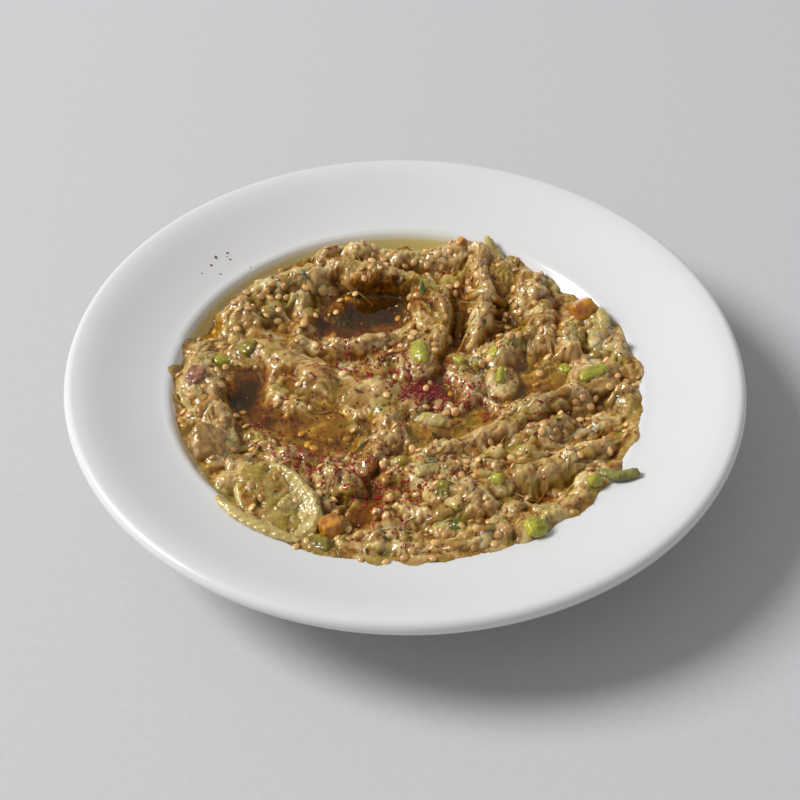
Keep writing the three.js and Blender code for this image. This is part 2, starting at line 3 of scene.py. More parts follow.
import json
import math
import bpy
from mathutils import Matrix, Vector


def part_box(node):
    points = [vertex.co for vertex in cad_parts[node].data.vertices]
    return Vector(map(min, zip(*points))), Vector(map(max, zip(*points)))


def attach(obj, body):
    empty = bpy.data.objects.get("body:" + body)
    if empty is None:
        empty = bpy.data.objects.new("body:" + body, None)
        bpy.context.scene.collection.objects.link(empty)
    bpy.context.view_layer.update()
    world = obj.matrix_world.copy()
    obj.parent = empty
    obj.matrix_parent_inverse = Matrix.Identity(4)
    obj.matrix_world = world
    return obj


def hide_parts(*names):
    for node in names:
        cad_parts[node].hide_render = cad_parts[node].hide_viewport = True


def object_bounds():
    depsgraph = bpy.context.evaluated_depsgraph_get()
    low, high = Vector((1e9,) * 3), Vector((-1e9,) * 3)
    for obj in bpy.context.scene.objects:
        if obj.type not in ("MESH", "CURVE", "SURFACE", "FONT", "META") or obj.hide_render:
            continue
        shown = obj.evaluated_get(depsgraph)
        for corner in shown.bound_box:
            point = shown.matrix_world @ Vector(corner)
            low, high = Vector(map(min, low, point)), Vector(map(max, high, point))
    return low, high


bl_info = {
    "name": "Baba Ganoush Plate",
    "version": (1, 0, 0),
    "blender": (4, 5, 0),
    "location": "View3D > Sidebar > Ganoush",
    "description": "Dresses a packed plate of baba ganoush with its porcelain, mash, seeds, oil and spice",
    "category": "Add Mesh",
}

import bmesh
import bpy
import numpy as np
from bpy.props import FloatProperty, FloatVectorProperty, IntProperty, PointerProperty
from mathutils import Matrix, Vector

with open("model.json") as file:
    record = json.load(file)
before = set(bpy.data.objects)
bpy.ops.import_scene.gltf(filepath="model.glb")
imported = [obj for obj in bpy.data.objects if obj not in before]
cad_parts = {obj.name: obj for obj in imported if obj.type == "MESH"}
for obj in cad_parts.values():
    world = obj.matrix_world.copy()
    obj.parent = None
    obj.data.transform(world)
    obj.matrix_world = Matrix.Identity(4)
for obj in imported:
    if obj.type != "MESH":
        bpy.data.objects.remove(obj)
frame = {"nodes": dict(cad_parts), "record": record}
CAD_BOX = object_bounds()
CAD_LOW, CAD_HIGH = (np.array(corner, float) * 1000 for corner in CAD_BOX)

# All lengths below are in millimetres; meshes are scaled to metres when they are made
METRES = 0.001
PLATE_RADIUS = (CAD_HIGH[1] - CAD_LOW[1]) / 2
LIP_HEIGHT = CAD_HIGH[2]
LIP_ROUND = 2.8
SHOULDER_RADIUS = 83.6
SHOULDER_HEIGHT = 25.3
FLOOR_RADIUS = 48.0
FLOOR_HEIGHT = 8.0
FOOT_RADIUS = 56.0
FOOT_WIDTH = 6.4
FOOT_HEIGHT = 3.2
OIL_LEVEL = 24.6
VALLEY_HEIGHT = 22.7
EDGE_ROUND = 7.0
HIGHEST_CREST = 30.6

# How ridges and troughs run into each other, and how much their widths change on the way
CREST_BLEND = 1.6
TROUGH_BLEND = 1.4
TROUGH_FLAT = 0.35
TROUGH_STEEPNESS = 9
WANDER_SHARE = 0.12
WANDER_WAVE = 40
PIECE_BLEND = 0.8

# The finest relief of the mash: rise, wave length and seed
FINE_RELIEF = ((0.16, 1.9, 11), (0.1, 1.1, 12))

# The underside of the mash: its rings as shares of its edge, and how far it lies below the plate's
# upper face
UNDERSIDE_RINGS = (0.97, 0.7, 0.35)
MASH_UNDER = 1.4

LOOSE_NODES = sorted(
    name for name in frame["nodes"] if name not in ("plate", "mash") and not name.startswith("oil_"))

# The photograph's camera, found from the ellipse of the plate's rim
CAMERA_DISTANCE = 600.0
CAMERA_TARGET = (-1.77, -14.62, 30.0)
CAMERA_ELEVATION = math.radians(44.17)
CAMERA_ROLL = math.radians(0.66)
CAMERA_LENS = 77.13
SENSOR = 36.0

# The raster on which the ground is worked out
CELL = 0.4
REACH = 92.0
AXIS = np.arange(-REACH, REACH + CELL / 2, CELL)
GRID_X, GRID_Y = np.meshgrid(AXIS, AXIS, indexing="ij")

# Where the mash ends on the plate's wall, anticlockwise from the right
MASH_EDGE = [
    (85.5, 3), (81, 27), (73, 41), (58.5, 58.5), (46, 68), (28, 80), (3, 80), (-14, 79), (-28, 76),
    (-38, 70.5), (-46, 66), (-57, 57), (-65.5, 47.6), (-77, 28), (-85, 7), (-82, -14), (-76, -30),
    (-69.5, -42), (-63, -57), (-50.5, -72), (-33, -82), (0, -87.5), (23, -84), (43.5, -75),
    (60, -62), (71.5, -46.5), (80, -29.5), (84.5, -13.5),
]

# Ridges and lumps: half width, then the crest as places of (x, y, height)
RIDGES = {
    "swirl": (9.5, [(-63, 32, 26.5), (-59, 46, 28.5), (-47.5, 55.5, 29), (-36, 58, 29.5), (-24, 61, 30),
              (-8, 57, 30.2), (3, 54, 29.8), (11, 46, 29.2), (14.5, 32, 28.6), (11, 18, 28), (4, 8, 26.5)]),
    "far rim": (8.5, [(-31, 69, 30), (-12, 70, 29.2), (6, 71, 29.4), (18, 73, 29)]),
    "tongue": (6, [(28, 72, 30.4), (29, 58, 30), (30, 47, 29), (28, 36, 27.6), (27, 28, 26)]),
    "near lip of the hollow": (5, [(-42, 22, 25.6), (-28, 19.5, 26), (-15, 20.5, 26.2), (-4, 25, 27)]),
    "left cheek of the hollow": (6, [(-40, 46, 27.5), (-37, 37, 26.5), (-38, 29, 25.4)]),
    "smooth mound": (12, [(-50, 14, 26.6), (-38, 5, 27), (-20, -1, 26.2), (-6, -6, 25.4)]),
    "upper right lump": (9, [(46, 60, 28.6), (46, 44, 28.8)]),
    "right inner lump": (6.5, [(51, 40, 28.2), (50, 24, 28)]),
    "outlined lump": (7, [(62, 33, 27.6), (60, 20, 28)]),
    "right flank": (7.5, [(70, 36, 27.8), (78, 24, 27.6), (81, 8, 27.4), (80, -8, 27.6)]),
    "green lump": (6.2, [(37, 22, 27.2), (34, 11, 27.2), (33, 2, 26.4)]),
    "pink lump": (6, [(18, 9, 25.8), (24, 0, 26.8), (24, -9, 26.2)]),
    "diagonal": (7.6, [(74, 8, 28.2), (60, -5, 29), (45, -12, 28.6), (31, -20, 28), (20, -29, 27.2),
                 (11, -35, 26)]),
    "small middle lump": (6, [(55, -19, 27.6), (48, -25, 27.4)]),
    "second diagonal": (7.6, [(80, -24, 27.6), (62, -36, 28.6), (42, -46, 28.8), (26, -43, 27.6),
                        (14, -39, 26.4)]),
    "lower right": (9.5, [(77, -39, 27.4), (67, -52, 28.4), (52, -62.5, 28.8), (38, -64, 27.6)]),
    "centre strand": (6.5, [(-4, -14, 26), (-7, -28, 26.6), (-15, -41, 26.4)]),
    "centre front": (7.4, [(-3, -41, 26.4), (9, -50, 27.2), (26, -55, 27.2)]),
    "left front": (8, [(-46, -35, 26.6), (-31, -41, 26.6), (-18, -47, 26.4)]),
    "left wall": (8.6, [(-76, 19, 26.6), (-75, 4.5, 27.2), (-68, -9, 27.6), (-66, -22, 26.6)]),
    "left foot": (7, [(-77, -16, 25.4), (-70, -32, 26.2)]),
    "fleshy lump": (8, [(-60, -48, 27.8), (-50, -49, 28.4)]),
    "under the shell": (9, [(-47, -55, 27.6), (-38, -60, 26.2)]),
    "front": (11.5, [(-20, -78, 26.6), (0, -79, 28), (16, -76.5, 27.8), (29, -73.5, 28), (42, -70, 27.4)]),
    "behind the front": (6.6, [(-6, -59, 25.2), (12, -62, 26.6), (28, -60, 26.6)]),
}

# Troughs: half width, then the floor as places of (x, y, height)
TROUGHS = {
    "hollow": (13, [(-20, 37, 19), (-9, 38, 19)]),
    "left of the hollow": (5, [(-57, 27, 23.2), (-46, 26, 23.2)]),
    "left trough": (8, [(-57, 5, 21), (-54, -8, 21), (-47, -20, 21), (-36, -24, 20.8)]),
    "left pool": (9, [(-34, -20, 20.6), (-24, -17, 20.6)]),
    "centre pool": (5.6, [(4, -22, 21), (14, -22, 20.8), (27, -12, 21)]),
    "dark spice dip": (5.4, [(3, 0, 23.4), (10, -2, 23.2)]),
    "right pool": (7.4, [(42, 2, 20.8), (54, 5, 20.6)]),
    "crease beside the swirl": (3.4, [(16, 60, 24.6), (21, 42, 22.8), (19, 26, 22.8), (14, 11, 24)]),
    "crease beside the tongue": (2.6, [(37, 60, 25.4), (37, 44, 24.4), (39, 30, 24)]),
    "crease under the diagonal": (3.6, [(41, -27, 22.8), (25, -34, 23.4)]),
    "front valley": (5, [(-8, -50, 23), (-12, -57, 22.4), (-17, -66, 22.4)]),
}

# Lumps of pulp: how many, their half lengths, half widths and rises, how much their tints differ, and
# how far they turn away from the ridges
LUMP_REACH = 88
LUMPS = [
    (210, (5.0, 10.0), (3.8, 6.4), (1.8, 3.6), 0.8, 0.9),
    (520, (2.6, 5.4), (2.0, 3.6), (0.7, 1.7), 0.7, 0.7),
    (1700, (0.9, 1.9), (0.8, 1.4), (0.2, 0.55), 0.4, 0.6),
]
SUNK = 2.2

# Where the far ridge leans over the hollow: the height at which its overhang starts, then the overhang
# and the wall under it, as a place, its half sizes, and how far the surface moves away from the viewer
OVERHANG_FOOT = 23
OVERHANG = ((-14, 53), (17, 6), -4.6)
UNDERCUT = ((-14, 47), (15, 6), 4.2)

# Pulp that fills the curled shell: its middle, half sizes, turn, heights at its two ends, the number of
# its blobs with their least and largest radius, and the cells of its mesh
PULP_AT = (-43, -58.5)
PULP_HALF = (9.6, 16.0)
PULP_TURN = math.radians(34)
PULP_HEIGHTS = (26.2, 29.8)
PULP_BLOBS = (190, 1.2, 3.2)
PULP_VOXEL = 0.35

# Grains of spice that fell on the plate: place, spread and count
PLATE_SPECKS = ((-68, 60), 7, 9)

# How thick the oil seems where it meets its shore, and the film that creeps up there: its least height,
# how much higher it is at the level, and how soon that fades
SHORE_TINT = 0.7
FILM_LEAST = 0.03
FILM_RISE = 0.2
FILM_FADE = 0.6

# The least thickness of mash over the plate near its edge
LEAST_COVER = 1.8

# Streaks of fibre in the flesh: the step along the ridges, and steps each way
STRAND_STEP = 0.45
STRAND_STEPS = 9

# How far up the loose pieces the mash is pressed, by the start of their names, and how far out
BEDDING = {
    "pepper": 0.66, "olive": 0.6, "grey": 0.62, "skin": 0.6, "folded": 0.6, "amber": 0.4, "leaf": 0.4,
    "pale_flake": 0.45, "tall": 0.6, "pale_strand": 0.6,
}
COLLAR = 4.0

# The finish of the loose pieces: the cells of their mesh, the share of each smoothing step, the waves in
# their surface, and how far they are swelled after the smoothing
FINE_VOXEL = 0.4
FINE_SMOOTHING = 0.6
FINE_WAVE = 2.4
FINE_SWELL = 0.12

# Oil on the plate's wall beside the mash, and how thick pools and films are at their full colour
WALL_OIL = ("oil_far_edge", "oil_near_edge")
POOL_DEEP = 1.0
FILM_DEEP = 3.0

# Shreds over the mash: how far out they may start, the length of one of their steps, then lengths,
# widths, thickness to width, lift and the sides of their section
SHRED_REACH = 84
SHRED_STEP = 1.1
FLAPS = ((7, 20), (3.0, 7.0), (0.4, 0.75), (-0.3, 0.1), 10)
FIBRES = ((6, 18), (0.5, 1.0), (0.7, 1.0), (0.0, 0.5), 6)

# Pools of oil: its level, and a place in it
POOLS = {
    "oil_left": (22.1, (-32, -19)),
    "oil_centre": (22.1, (14, -22)),
    "oil_right": (22.2, (49, 4)),
    "oil_hollow": (20.7, (-15, 40)),
}

# Places painted darker, as painted shade in the hollow under its overhang, in the troughs and in the pools
# of deep oil, or paler where
# the strength is below 0: place, spread across and along, and strength
SHADES = [
    ((-57, -46), (7, 6), -0.7), ((-7, 45), (10, 6), 1.9), ((-24, 38), (7, 6), 0.6),
    ((-57, -4), (4.5, 8), 1.9), ((-48, -19), (8, 5), 0.5), ((19, 35), (2.5, 12), 0.8),
    ((37, 42), (2.5, 12), 0.6), ((14, 12), (5, 4), 0.7), ((-12, -60), (4, 8), 0.7),
    ((-38, 1), (9, 8), 0.4), ((51, 29), (9, 9), 0.35), ((0, -44), (9, 8), 0.35),
    ((50, 0), (8, 5), 0.6), ((-22, -24), (9, 6), 0.35), ((-20, 36), (9, 7), 0.9),
    ((66, 20), (5, 9), -0.4), ((-74, 2), (6, 14), -0.4),
]

# Where the spice has stained the mash: place, spread across and along, and strength
STAINS = [((7, -2.5), (6.5, 4.8), 1.3), ((12, -4), (14, 6), 0.4), ((-30, -38), (13, 6), 0.35)]

# The floor's half size and how far it lies under the part, the key light's place and size in metres,
# and the colour of the room's light
STAGE_HALF = 3000
STAGE_DROP = 0.2
KEY_PLACE = (-2.65, 0.35, 2.4)
KEY_SIZE = 1.5
ROOM_COLOUR = (0.97, 0.98, 1, 1)

# Where the red spice fell: place, spread and share of the grains
DUSTINGS = [
    ((7, -3), 7, 2.6), ((22, -8), 9, 1.0), ((-5, 6), 9, 0.9), ((-20, 13), 8, 0.8), ((-35, 29), 4, 0.5),
    ((-45, -20), 10, 0.7), ((-35, -37), 7, 1.5), ((-24, -41), 7, 1.6), ((-14, -45), 7, 0.9),
    ((-10, -54), 6, 1.2), ((3, -52), 7, 1.0), ((18, -42), 8, 0.4), ((52, -18), 8, 0.25),
    ((20, 35), 8, 0.2), ((-5, -68), 9, 0.3), ((0, -10), 60, 0.16),
]


def colour_setting(name, description, default):
    """A colour that a user can change."""
    return FloatVectorProperty(name=name, description=description, subtype="COLOR", default=default)


def length_setting(name, description, default):
    """A length in metres that a user can change."""
    return FloatProperty(name=name, description=description, subtype="DISTANCE", default=default)


class PlateSettings(bpy.types.PropertyGroup):
    """Sizes and colour of the plate."""

    segments: IntProperty(name="Segments", description="Sides of the turned plate", default=192, min=24)
    glaze: colour_setting("Glaze", "Colour of the glaze", (0.71, 0.708, 0.7))


class MashSettings(bpy.types.PropertyGroup):
    """Sizes and colours of the mash and what is in it."""

    cells: IntProperty(name="Cells", description="Cells across the mash surface", default=306, min=40)
    flaps: IntProperty(name="Flaps", description="Wide shreds of flesh over the mash", default=90, min=0)
    fibres: IntProperty(name="Fibres", description="Thin fibres over the mash", default=110, min=0)
    seed_length: length_setting("Seed length", "Length of an aubergine seed", 0.0034)
    seed_spacing: length_setting("Seed spacing", "Least distance between two seeds", 0.0031)
    pale: colour_setting("Pale flesh", "Colour of the palest flesh", (0.73, 0.54, 0.25))
    middle: colour_setting("Flesh", "Colour of most of the flesh", (0.38, 0.2, 0.034))
    dark: colour_setting("Dark flesh", "Colour deep in the creases", (0.19, 0.075, 0.006))
    seed_colour: colour_setting("Seeds", "Colour of the seeds", (0.64, 0.37, 0.12))


class ToppingSettings(bpy.types.PropertyGroup):
    """Colours of the spice, the oil and the vegetable pieces."""

    spice: colour_setting("Spice", "Colour of the red spice", (0.32, 0.013, 0.007))
    oil: colour_setting("Oil", "What light keeps after passing the oil", (0.87, 0.77, 0.4))
    pepper: colour_setting("Pepper", "Colour of the green pepper", (0.46, 0.43, 0.036))
    grain: length_setting("Grain", "Size of a grain of spice", 0.0009)


class StageSettings(bpy.types.PropertyGroup):
    """The floor, the light and the camera."""

    floor: colour_setting("Floor", "Colour of the floor", (0.56, 0.56, 0.57))
    key_power: FloatProperty(
        name="Key light", description="Power of the light from the left, in watts", default=135)
    fill: FloatProperty(name="Fill light", description="Strength of the light all round", default=0.37)


class Num:
    """A number that changes over a surface; sums written on it add Math nodes."""

    def __init__(self, shader, socket):
        self.shader = shader
        self.socket = socket

    def _math(self, operation, first, second, clamp=False):
        settings = {"operation": operation, "use_clamp": clamp}
        made = self.shader.node("ShaderNodeMath", settings, {0: first, 1: second})
        return Num(self.shader, made.outputs[0])

    def __add__(self, other):
        return self._math("ADD", self, other)

    def __sub__(self, other):
        return self._math("SUBTRACT", self, other)

    def __mul__(self, other):
        return self._math("MULTIPLY", self, other)

    def clamped(self):
        """The number kept between 0 and 1."""
        return self._math("ADD", self, 0, clamp=True)

    def between(self, low, high):
        """0 at low, 1 at high and a smooth run in between."""
        settings = {"interpolation_type": "SMOOTHSTEP"}
        values = {"Value": self, "From Min": low, "From Max": high}
        return Num(self.shader, self.shader.node("ShaderNodeMapRange", settings, values).outputs[0])


class Shader:
    """A material's node tree, with short ways to add nodes to it."""

    def __init__(self, name):
        self.material = bpy.data.materials.new(name)
        self.material.use_nodes = True
        self.tree = self.material.node_tree
        self.tree.nodes.clear()
        self.out = self.tree.nodes.new("ShaderNodeOutputMaterial")
        self.place = self.node("ShaderNodeTexCoord").outputs["Object"]

    def node(self, kind, settings=None, values=None):
        """Adds a node, with its settings first and then the values or links of its sockets."""
        made = self.tree.nodes.new(kind)
        for key, value in (settings or {}).items():
            setattr(made, key, value)
        for key, value in (values or {}).items():
            socket = made.inputs[key]
            if isinstance(value, Num):
                value = value.socket
            if isinstance(value, bpy.types.NodeSocket):
                self.tree.links.new(value, socket)
            elif isinstance(value, (tuple, list)) and len(value) == 3 and len(socket.default_value) == 4:
                socket.default_value = (*value, 1)
            else:
                socket.default_value = value
        return made

    def stretched(self, scale, turn=0.0):
        """Object coordinates turned about the upright and scaled unevenly."""
        values = {"Vector": self.place, "Rotation": (0, 0, turn), "Scale": scale}
        return self.node("ShaderNodeMapping", None, values).outputs[0]

    def noise(self, size, detail=3.0, roughness=0.55, place=None):
        """Noise between 0 and 1 with patches of about the given size in millimetres."""
        values = {"Vector": place or self.place, "Scale": 1 / (size * METRES), "Detail": detail,
                  "Roughness": roughness}
        return Num(self, self.node("ShaderNodeTexNoise", None, values).outputs["Fac"])

    def cells(self, size):
        """Distance to the nearest of scattered points that lie about the given size apart."""
        values = {"Vector": self.place, "Scale": 1 / (size * METRES)}
        return Num(self, self.node("ShaderNodeTexVoronoi", None, values).outputs["Distance"])

    def attribute(self, name):
        """A number stored on the mesh."""
        return Num(self, self.node("ShaderNodeAttribute", {"attribute_name": name}).outputs["Fac"])

    def mix(self, share, first, second, blend="MIX"):
        """One colour run into another."""
        settings = {"data_type": "RGBA", "blend_type": blend}
        return self.node("ShaderNodeMix", settings, {"Factor": share, 6: first, 7: second}).outputs[2]

    def bump(self, height, distance, strength=1.0, under=None):
        """A bump of the given depth in millimetres, over an earlier one if there is one."""
        values = {"Height": height, "Distance": distance * METRES, "Strength": strength}
        if under is not None:
            values["Normal"] = under
        return self.node("ShaderNodeBump", None, values).outputs[0]

    def principled(self, **values):
        """The surface itself; a socket's name is written with underscores."""
        named = {key.replace("_", " "): value for key, value in values.items()}
        return self.node("ShaderNodeBsdfPrincipled", None, named)

    def shaders_mixed(self, share, first, second):
        """One surface run into another."""
        return self.node("ShaderNodeMixShader", None, {0: share, 1: first.outputs[0], 2: second.outputs[0]})

    def finish(self, surface):
        """Joins the surface to the output and hands back the material."""
        self.tree.links.new(surface.outputs[0], self.out.inputs["Surface"])
        return self.material


def glazed_porcelain(colour):
    """Smooth white glaze with a very slight unevenness in its gloss."""
    shader = Shader("glazed porcelain")
    drift = shader.noise(38, 2)
    tone = shader.mix(drift.between(0.3, 0.7), tuple(c * 0.985 for c in colour), colour)
    ripple = shader.bump(shader.noise(16, 1), 0.06, 0.5)
    surface = shader.principled(
        Base_Color=tone, Roughness=(drift * 0.08 + 0.2), IOR=1.5, Coat_Weight=0.35, Coat_Roughness=0.09,
        Subsurface_Weight=0.06, Subsurface_Radius=(0.004, 0.004, 0.004), Subsurface_Scale=1.0,
        Normal=ripple)
    return shader.finish(surface)


def wet_flesh(name, pale, middle, dark, fibre=0.0):
    """Cooked aubergine flesh: patchy, with painted shade in its creases, partly for oil gathered there,
    painted lighter on its crests, and wet.
    """
    shader = Shader(name)
    patches = shader.noise(7, 4, 0.6)
    grain = shader.noise(1.8, 4, 0.6)
    crease = shader.attribute("crease")
    strand = shader.attribute("strand")
    light = shader.attribute("tone") * 0.2 + (patches - 0.5) * 1.3 + (grain - 0.5) * 0.6
    light = light + strand * 0.12 + 0.5
    colour = shader.mix(light.between(0.0, 0.5), dark, middle)
    colour = shader.mix(light.between(0.4, 0.95), colour, pale)
    olive = (middle[0] * 0.8, middle[1] * 1.2, middle[2] * 0.9)
    colour = shader.mix(shader.noise(12, 3).between(0.47, 0.64) * 0.65, colour, olive)
    tan = (middle[0] * 1.2, middle[1] * 1.1, middle[2] * 2.0)
    colour = shader.mix(shader.noise(9, 3, 0.6).between(0.54, 0.7) * 0.6, colour, tan)
    soaked_and_shaded, painted_shade_dark, spice_stain = (0.55, 0.34, 0.05), (0.032, 0.023, 0.003), (0.14, 0.006, 0.004)
    # Painted shade: the creases are darkened, partly for oil soaked into them and partly as the shade that
    # falls in them
    colour = shader.mix(crease.between(-0.1, 0.9), colour, soaked_and_shaded, "MULTIPLY")
    # Painted shade: where the crease value passes 0.8, in the dark places of SHADES, the colour runs
    # towards near black
    colour = shader.mix(crease.between(0.8, 1.8) * 0.85, colour, painted_shade_dark)
    # Painted light: crests, where the crease value is below 0, run towards the pale colour, as do the pale
    # places of SHADES
    colour = shader.mix((crease * -1.4).clamped() * 0.4, colour, pale)
    stained = shader.attribute("stain") * (grain * 1.6 + 0.2)
    colour = shader.mix(stained.clamped(), colour, spice_stain)
    normal = shader.bump(grain * 0.5 + shader.cells(1.5) * 0.4 + strand * 0.08, 0.4, 0.5)
    if fibre:
        strands = shader.noise(0.9, 2, 0.5, shader.stretched((1, 0.16, 0.5), 0.6))
        normal = shader.bump(strands, fibre, 0.6, normal)
    wet = (patches * 2.2 - 0.55 - crease * 1.2).clamped()
    surface = shader.principled(
        Base_Color=colour, Roughness=(grain * 0.3 + 0.14), IOR=1.45, Specular_IOR_Level=0.25,
        Coat_Weight=wet, Coat_Roughness=0.05, Subsurface_Weight=0.85,
        Subsurface_Radius=(0.006, 0.004, 0.0012), Subsurface_Scale=1.0, Normal=normal)
    return shader.finish(surface)


def wet_vegetable(name, colour, shade, gleam=0.8, depth=0.15, clear=0.15):
    """A piece of soft vegetable: its colour with a shade of it in patches, under a film of oil."""
    shader = Shader(name)
    patches = shader.noise(4.2, 3, 0.5)
    streaks = shader.noise(1.5, 2, 0.5, shader.stretched((1, 0.3, 1), 0.4))
    share = (patches * 0.7 + streaks * 0.3).between(0.32, 0.66)
    tone = shader.mix(share, shade, colour)
    normal = shader.bump(streaks * 0.4 + patches * 0.6, depth, 0.6)
    surface = shader.principled(
        Base_Color=tone, Roughness=(patches * 0.2 + 0.2), IOR=1.45, Specular_IOR_Level=0.3,
        Coat_Weight=gleam, Coat_Roughness=0.05, Subsurface_Weight=clear,
        Subsurface_Radius=(0.003, 0.0025, 0.0008), Subsurface_Scale=1.0, Normal=normal)
    return shader.finish(surface)


def seed_skin(colour):
    """Pale tan seed skin, each seed a little lighter or darker."""
    shader = Shader("aubergine seed")
    tone = shader.attribute("tone")
    spots = shader.noise(0.9, 2)
    light = tuple(min(1, c * 1.35 + 0.04) for c in colour)
    brown = (colour[0] * 0.6, colour[1] * 0.52, colour[2] * 0.45)
    shade = shader.mix(tone.between(0.0, 1.0), brown, light)
    shade = shader.mix(spots.between(0.35, 0.7) * 0.5, shade, colour)
    surface = shader.principled(
        Base_Color=shade, Roughness=0.32, IOR=1.45, Coat_Weight=0.7, Coat_Roughness=0.06,
        Subsurface_Weight=0.2, Subsurface_Radius=(0.0015, 0.001, 0.0005), Subsurface_Scale=1.0,
        Normal=shader.bump(spots, 0.12, 0.5))
    return shader.finish(surface)


def spice_dust(colour):
    """Dark red grains of dried berry, some bright and some nearly black."""
    shader = Shader("red spice")
    tone = shader.attribute("tone")
    bright = (min(1, colour[0] * 1.7), colour[1] * 2.5 + 0.01, colour[2] * 2.0 + 0.01)
    deep = tuple(c * 0.6 for c in colour)
    shade = shader.mix(tone.between(0.2, 1.0), deep, bright)
    surface = shader.principled(
        Base_Color=shade, Roughness=0.45, IOR=1.45, Coat_Weight=0.4, Coat_Roughness=0.12,
        Normal=shader.bump(shader.noise(0.4, 2), 0.08, 0.5))
    return shader.finish(surface)


def clear_oil(colour):
    """Golden oil: clear where it is thin, deeper in colour where it is thick, with a sharp shine."""
    shader = Shader("golden oil")
    depth = shader.attribute("depth")
    thin = shader.node("ShaderNodeBsdfTransparent", None, {"Color": (0.995, 0.99, 0.96)})
    thick = shader.node("ShaderNodeBsdfTransparent", None, {"Color": colour})
    body = shader.shaders_mixed(depth.clamped(), thin, thick)
    gloss = shader.node("ShaderNodeBsdfGlossy", None, {"Color": (1, 1, 1), "Roughness": 0.03})
    away = Num(shader, shader.node("ShaderNodeLayerWeight", None, {"Blend": 0.5}).outputs["Facing"])
    shine = away * away * away * 0.5 + 0.03
    return shader.finish(shader.shaders_mixed(shine, body, gloss))


def plain_floor(colour):
    """A plain pale floor with the faintest grain."""
    shader = Shader("pale floor")
    grain = shader.noise(2.5, 3)
    tone = shader.mix(grain.between(0.3, 0.7), tuple(c * 0.97 for c in colour), colour)
    surface = shader.principled(Base_Color=tone, Roughness=0.85, Normal=shader.bump(grain, 0.2, 0.3))
    return shader.finish(surface)


def new_object(name, data):
    """An object in the scene that shows some mesh, light or camera."""
    made = bpy.data.objects.new(name, data)
    bpy.context.scene.collection.objects.link(made)
    return made


def mesh_object(name, places, faces, material):
    """A smooth mesh object from places in millimetres."""
    mesh = bpy.data.meshes.new(name)
    mesh.from_pydata((np.asarray(places) * METRES).tolist(), [], [tuple(face) for face in faces])
    mesh.validate()
    mesh.materials.append(material)
    mesh.shade_smooth()
    return new_object(name, mesh)


def store(piece, name, values):
    """Puts one number on each vertex of a mesh."""
    layer = piece.data.attributes.new(name, "FLOAT", "POINT")
    layer.data.foreach_set("value", np.asarray(values, np.float32))


def vertex_rows(mesh, key="co"):
    """The places or normals of a mesh's vertices, one to a row, as the mesh holds them."""
    rows = np.zeros(len(mesh.vertices) * 3)
    mesh.vertices.foreach_get(key, rows)
    return rows.reshape(-1, 3)


def edited(mesh, edit=None, sources=None):
    """Runs an edit on a mesh, or puts other meshes, joined, in its place."""
    work = bmesh.new()
    for source in sources or [mesh]:
        work.from_mesh(source)
    if edit:
        edit(work)
    work.to_mesh(mesh)
    work.free()


def turn_outward(work):
    """Makes all faces of a closed mesh point out."""
    bmesh.ops.recalc_face_normals(work, faces=work.faces)


def join_doubles(work):
    """Joins vertices that share a place."""
    bmesh.ops.remove_doubles(work, verts=work.verts, dist=0.00001)


def drop_loose(work):
    """Deletes vertices that no face uses."""
    loose = [vertex for vertex in work.verts if not vertex.link_faces]
    bmesh.ops.delete(work, geom=loose, context="VERTS")


def ring_faces(rows, sides, start, ends):
    """The faces of a body of rings: fans at its two ends and quads from ring to ring."""
    def at(row, side):
        """The number of a ring's vertex."""
        return start + row * sides + side % sides

    faces = []
    for side in range(sides):
        faces.append((ends[0], at(0, side), at(0, side + 1)))
        faces.append((ends[1], at(rows - 1, side + 1), at(rows - 1, side)))
        for row in range(rows - 1):
            faces.append((at(row, side), at(row + 1, side), at(row + 1, side + 1), at(row, side + 1)))
    return faces


def bezier(start, pull, push, end, steps):
    """Places along a cubic curve, without its first one."""
    share = np.linspace(0, 1, steps + 1)[1:, None]
    start, pull, push, end = (np.array(place, float) for place in (start, pull, push, end))
    keep = 1 - share
    return keep**3 * start + 3 * keep**2 * share * pull + 3 * keep * share**2 * push + share**3 * end


def quadratic(start, pull, end, steps):
    """Places along a quadratic curve, without its first one."""
    start, pull, end = (np.array(place, float) for place in (start, pull, end))
    return bezier(start, start + (pull - start) * 2 / 3, end + (pull - end) * 2 / 3, end, steps)


def upper_face(steps):
    """The plate's upper face as (radius, height), from its middle to the top of the lip."""
    shoulder = (SHOULDER_RADIUS, SHOULDER_HEIGHT)
    slope = (SHOULDER_RADIUS + 3.4, SHOULDER_HEIGHT + 1.2)
    crown = (PLATE_RADIUS - 8, LIP_HEIGHT - 1)
    lip = (PLATE_RADIUS - LIP_ROUND, LIP_HEIGHT)
    return np.vstack([
        [(0, FLOOR_HEIGHT), (FLOOR_RADIUS * 0.5, FLOOR_HEIGHT), (FLOOR_RADIUS, FLOOR_HEIGHT)],
        bezier((FLOOR_RADIUS, FLOOR_HEIGHT), (FLOOR_RADIUS + 18, FLOOR_HEIGHT),
               (SHOULDER_RADIUS - 8.5, SHOULDER_HEIGHT - 9.4), shoulder, steps),
        quadratic(shoulder, (SHOULDER_RADIUS + 0.9, SHOULDER_HEIGHT + 0.9), slope, steps),
        bezier(slope, (PLATE_RADIUS - 20, LIP_HEIGHT - 6.2), (PLATE_RADIUS - 14, LIP_HEIGHT - 2.8),
               crown, steps),
        quadratic(crown, (PLATE_RADIUS - 5.2, LIP_HEIGHT - 0.15), lip, steps),
    ])


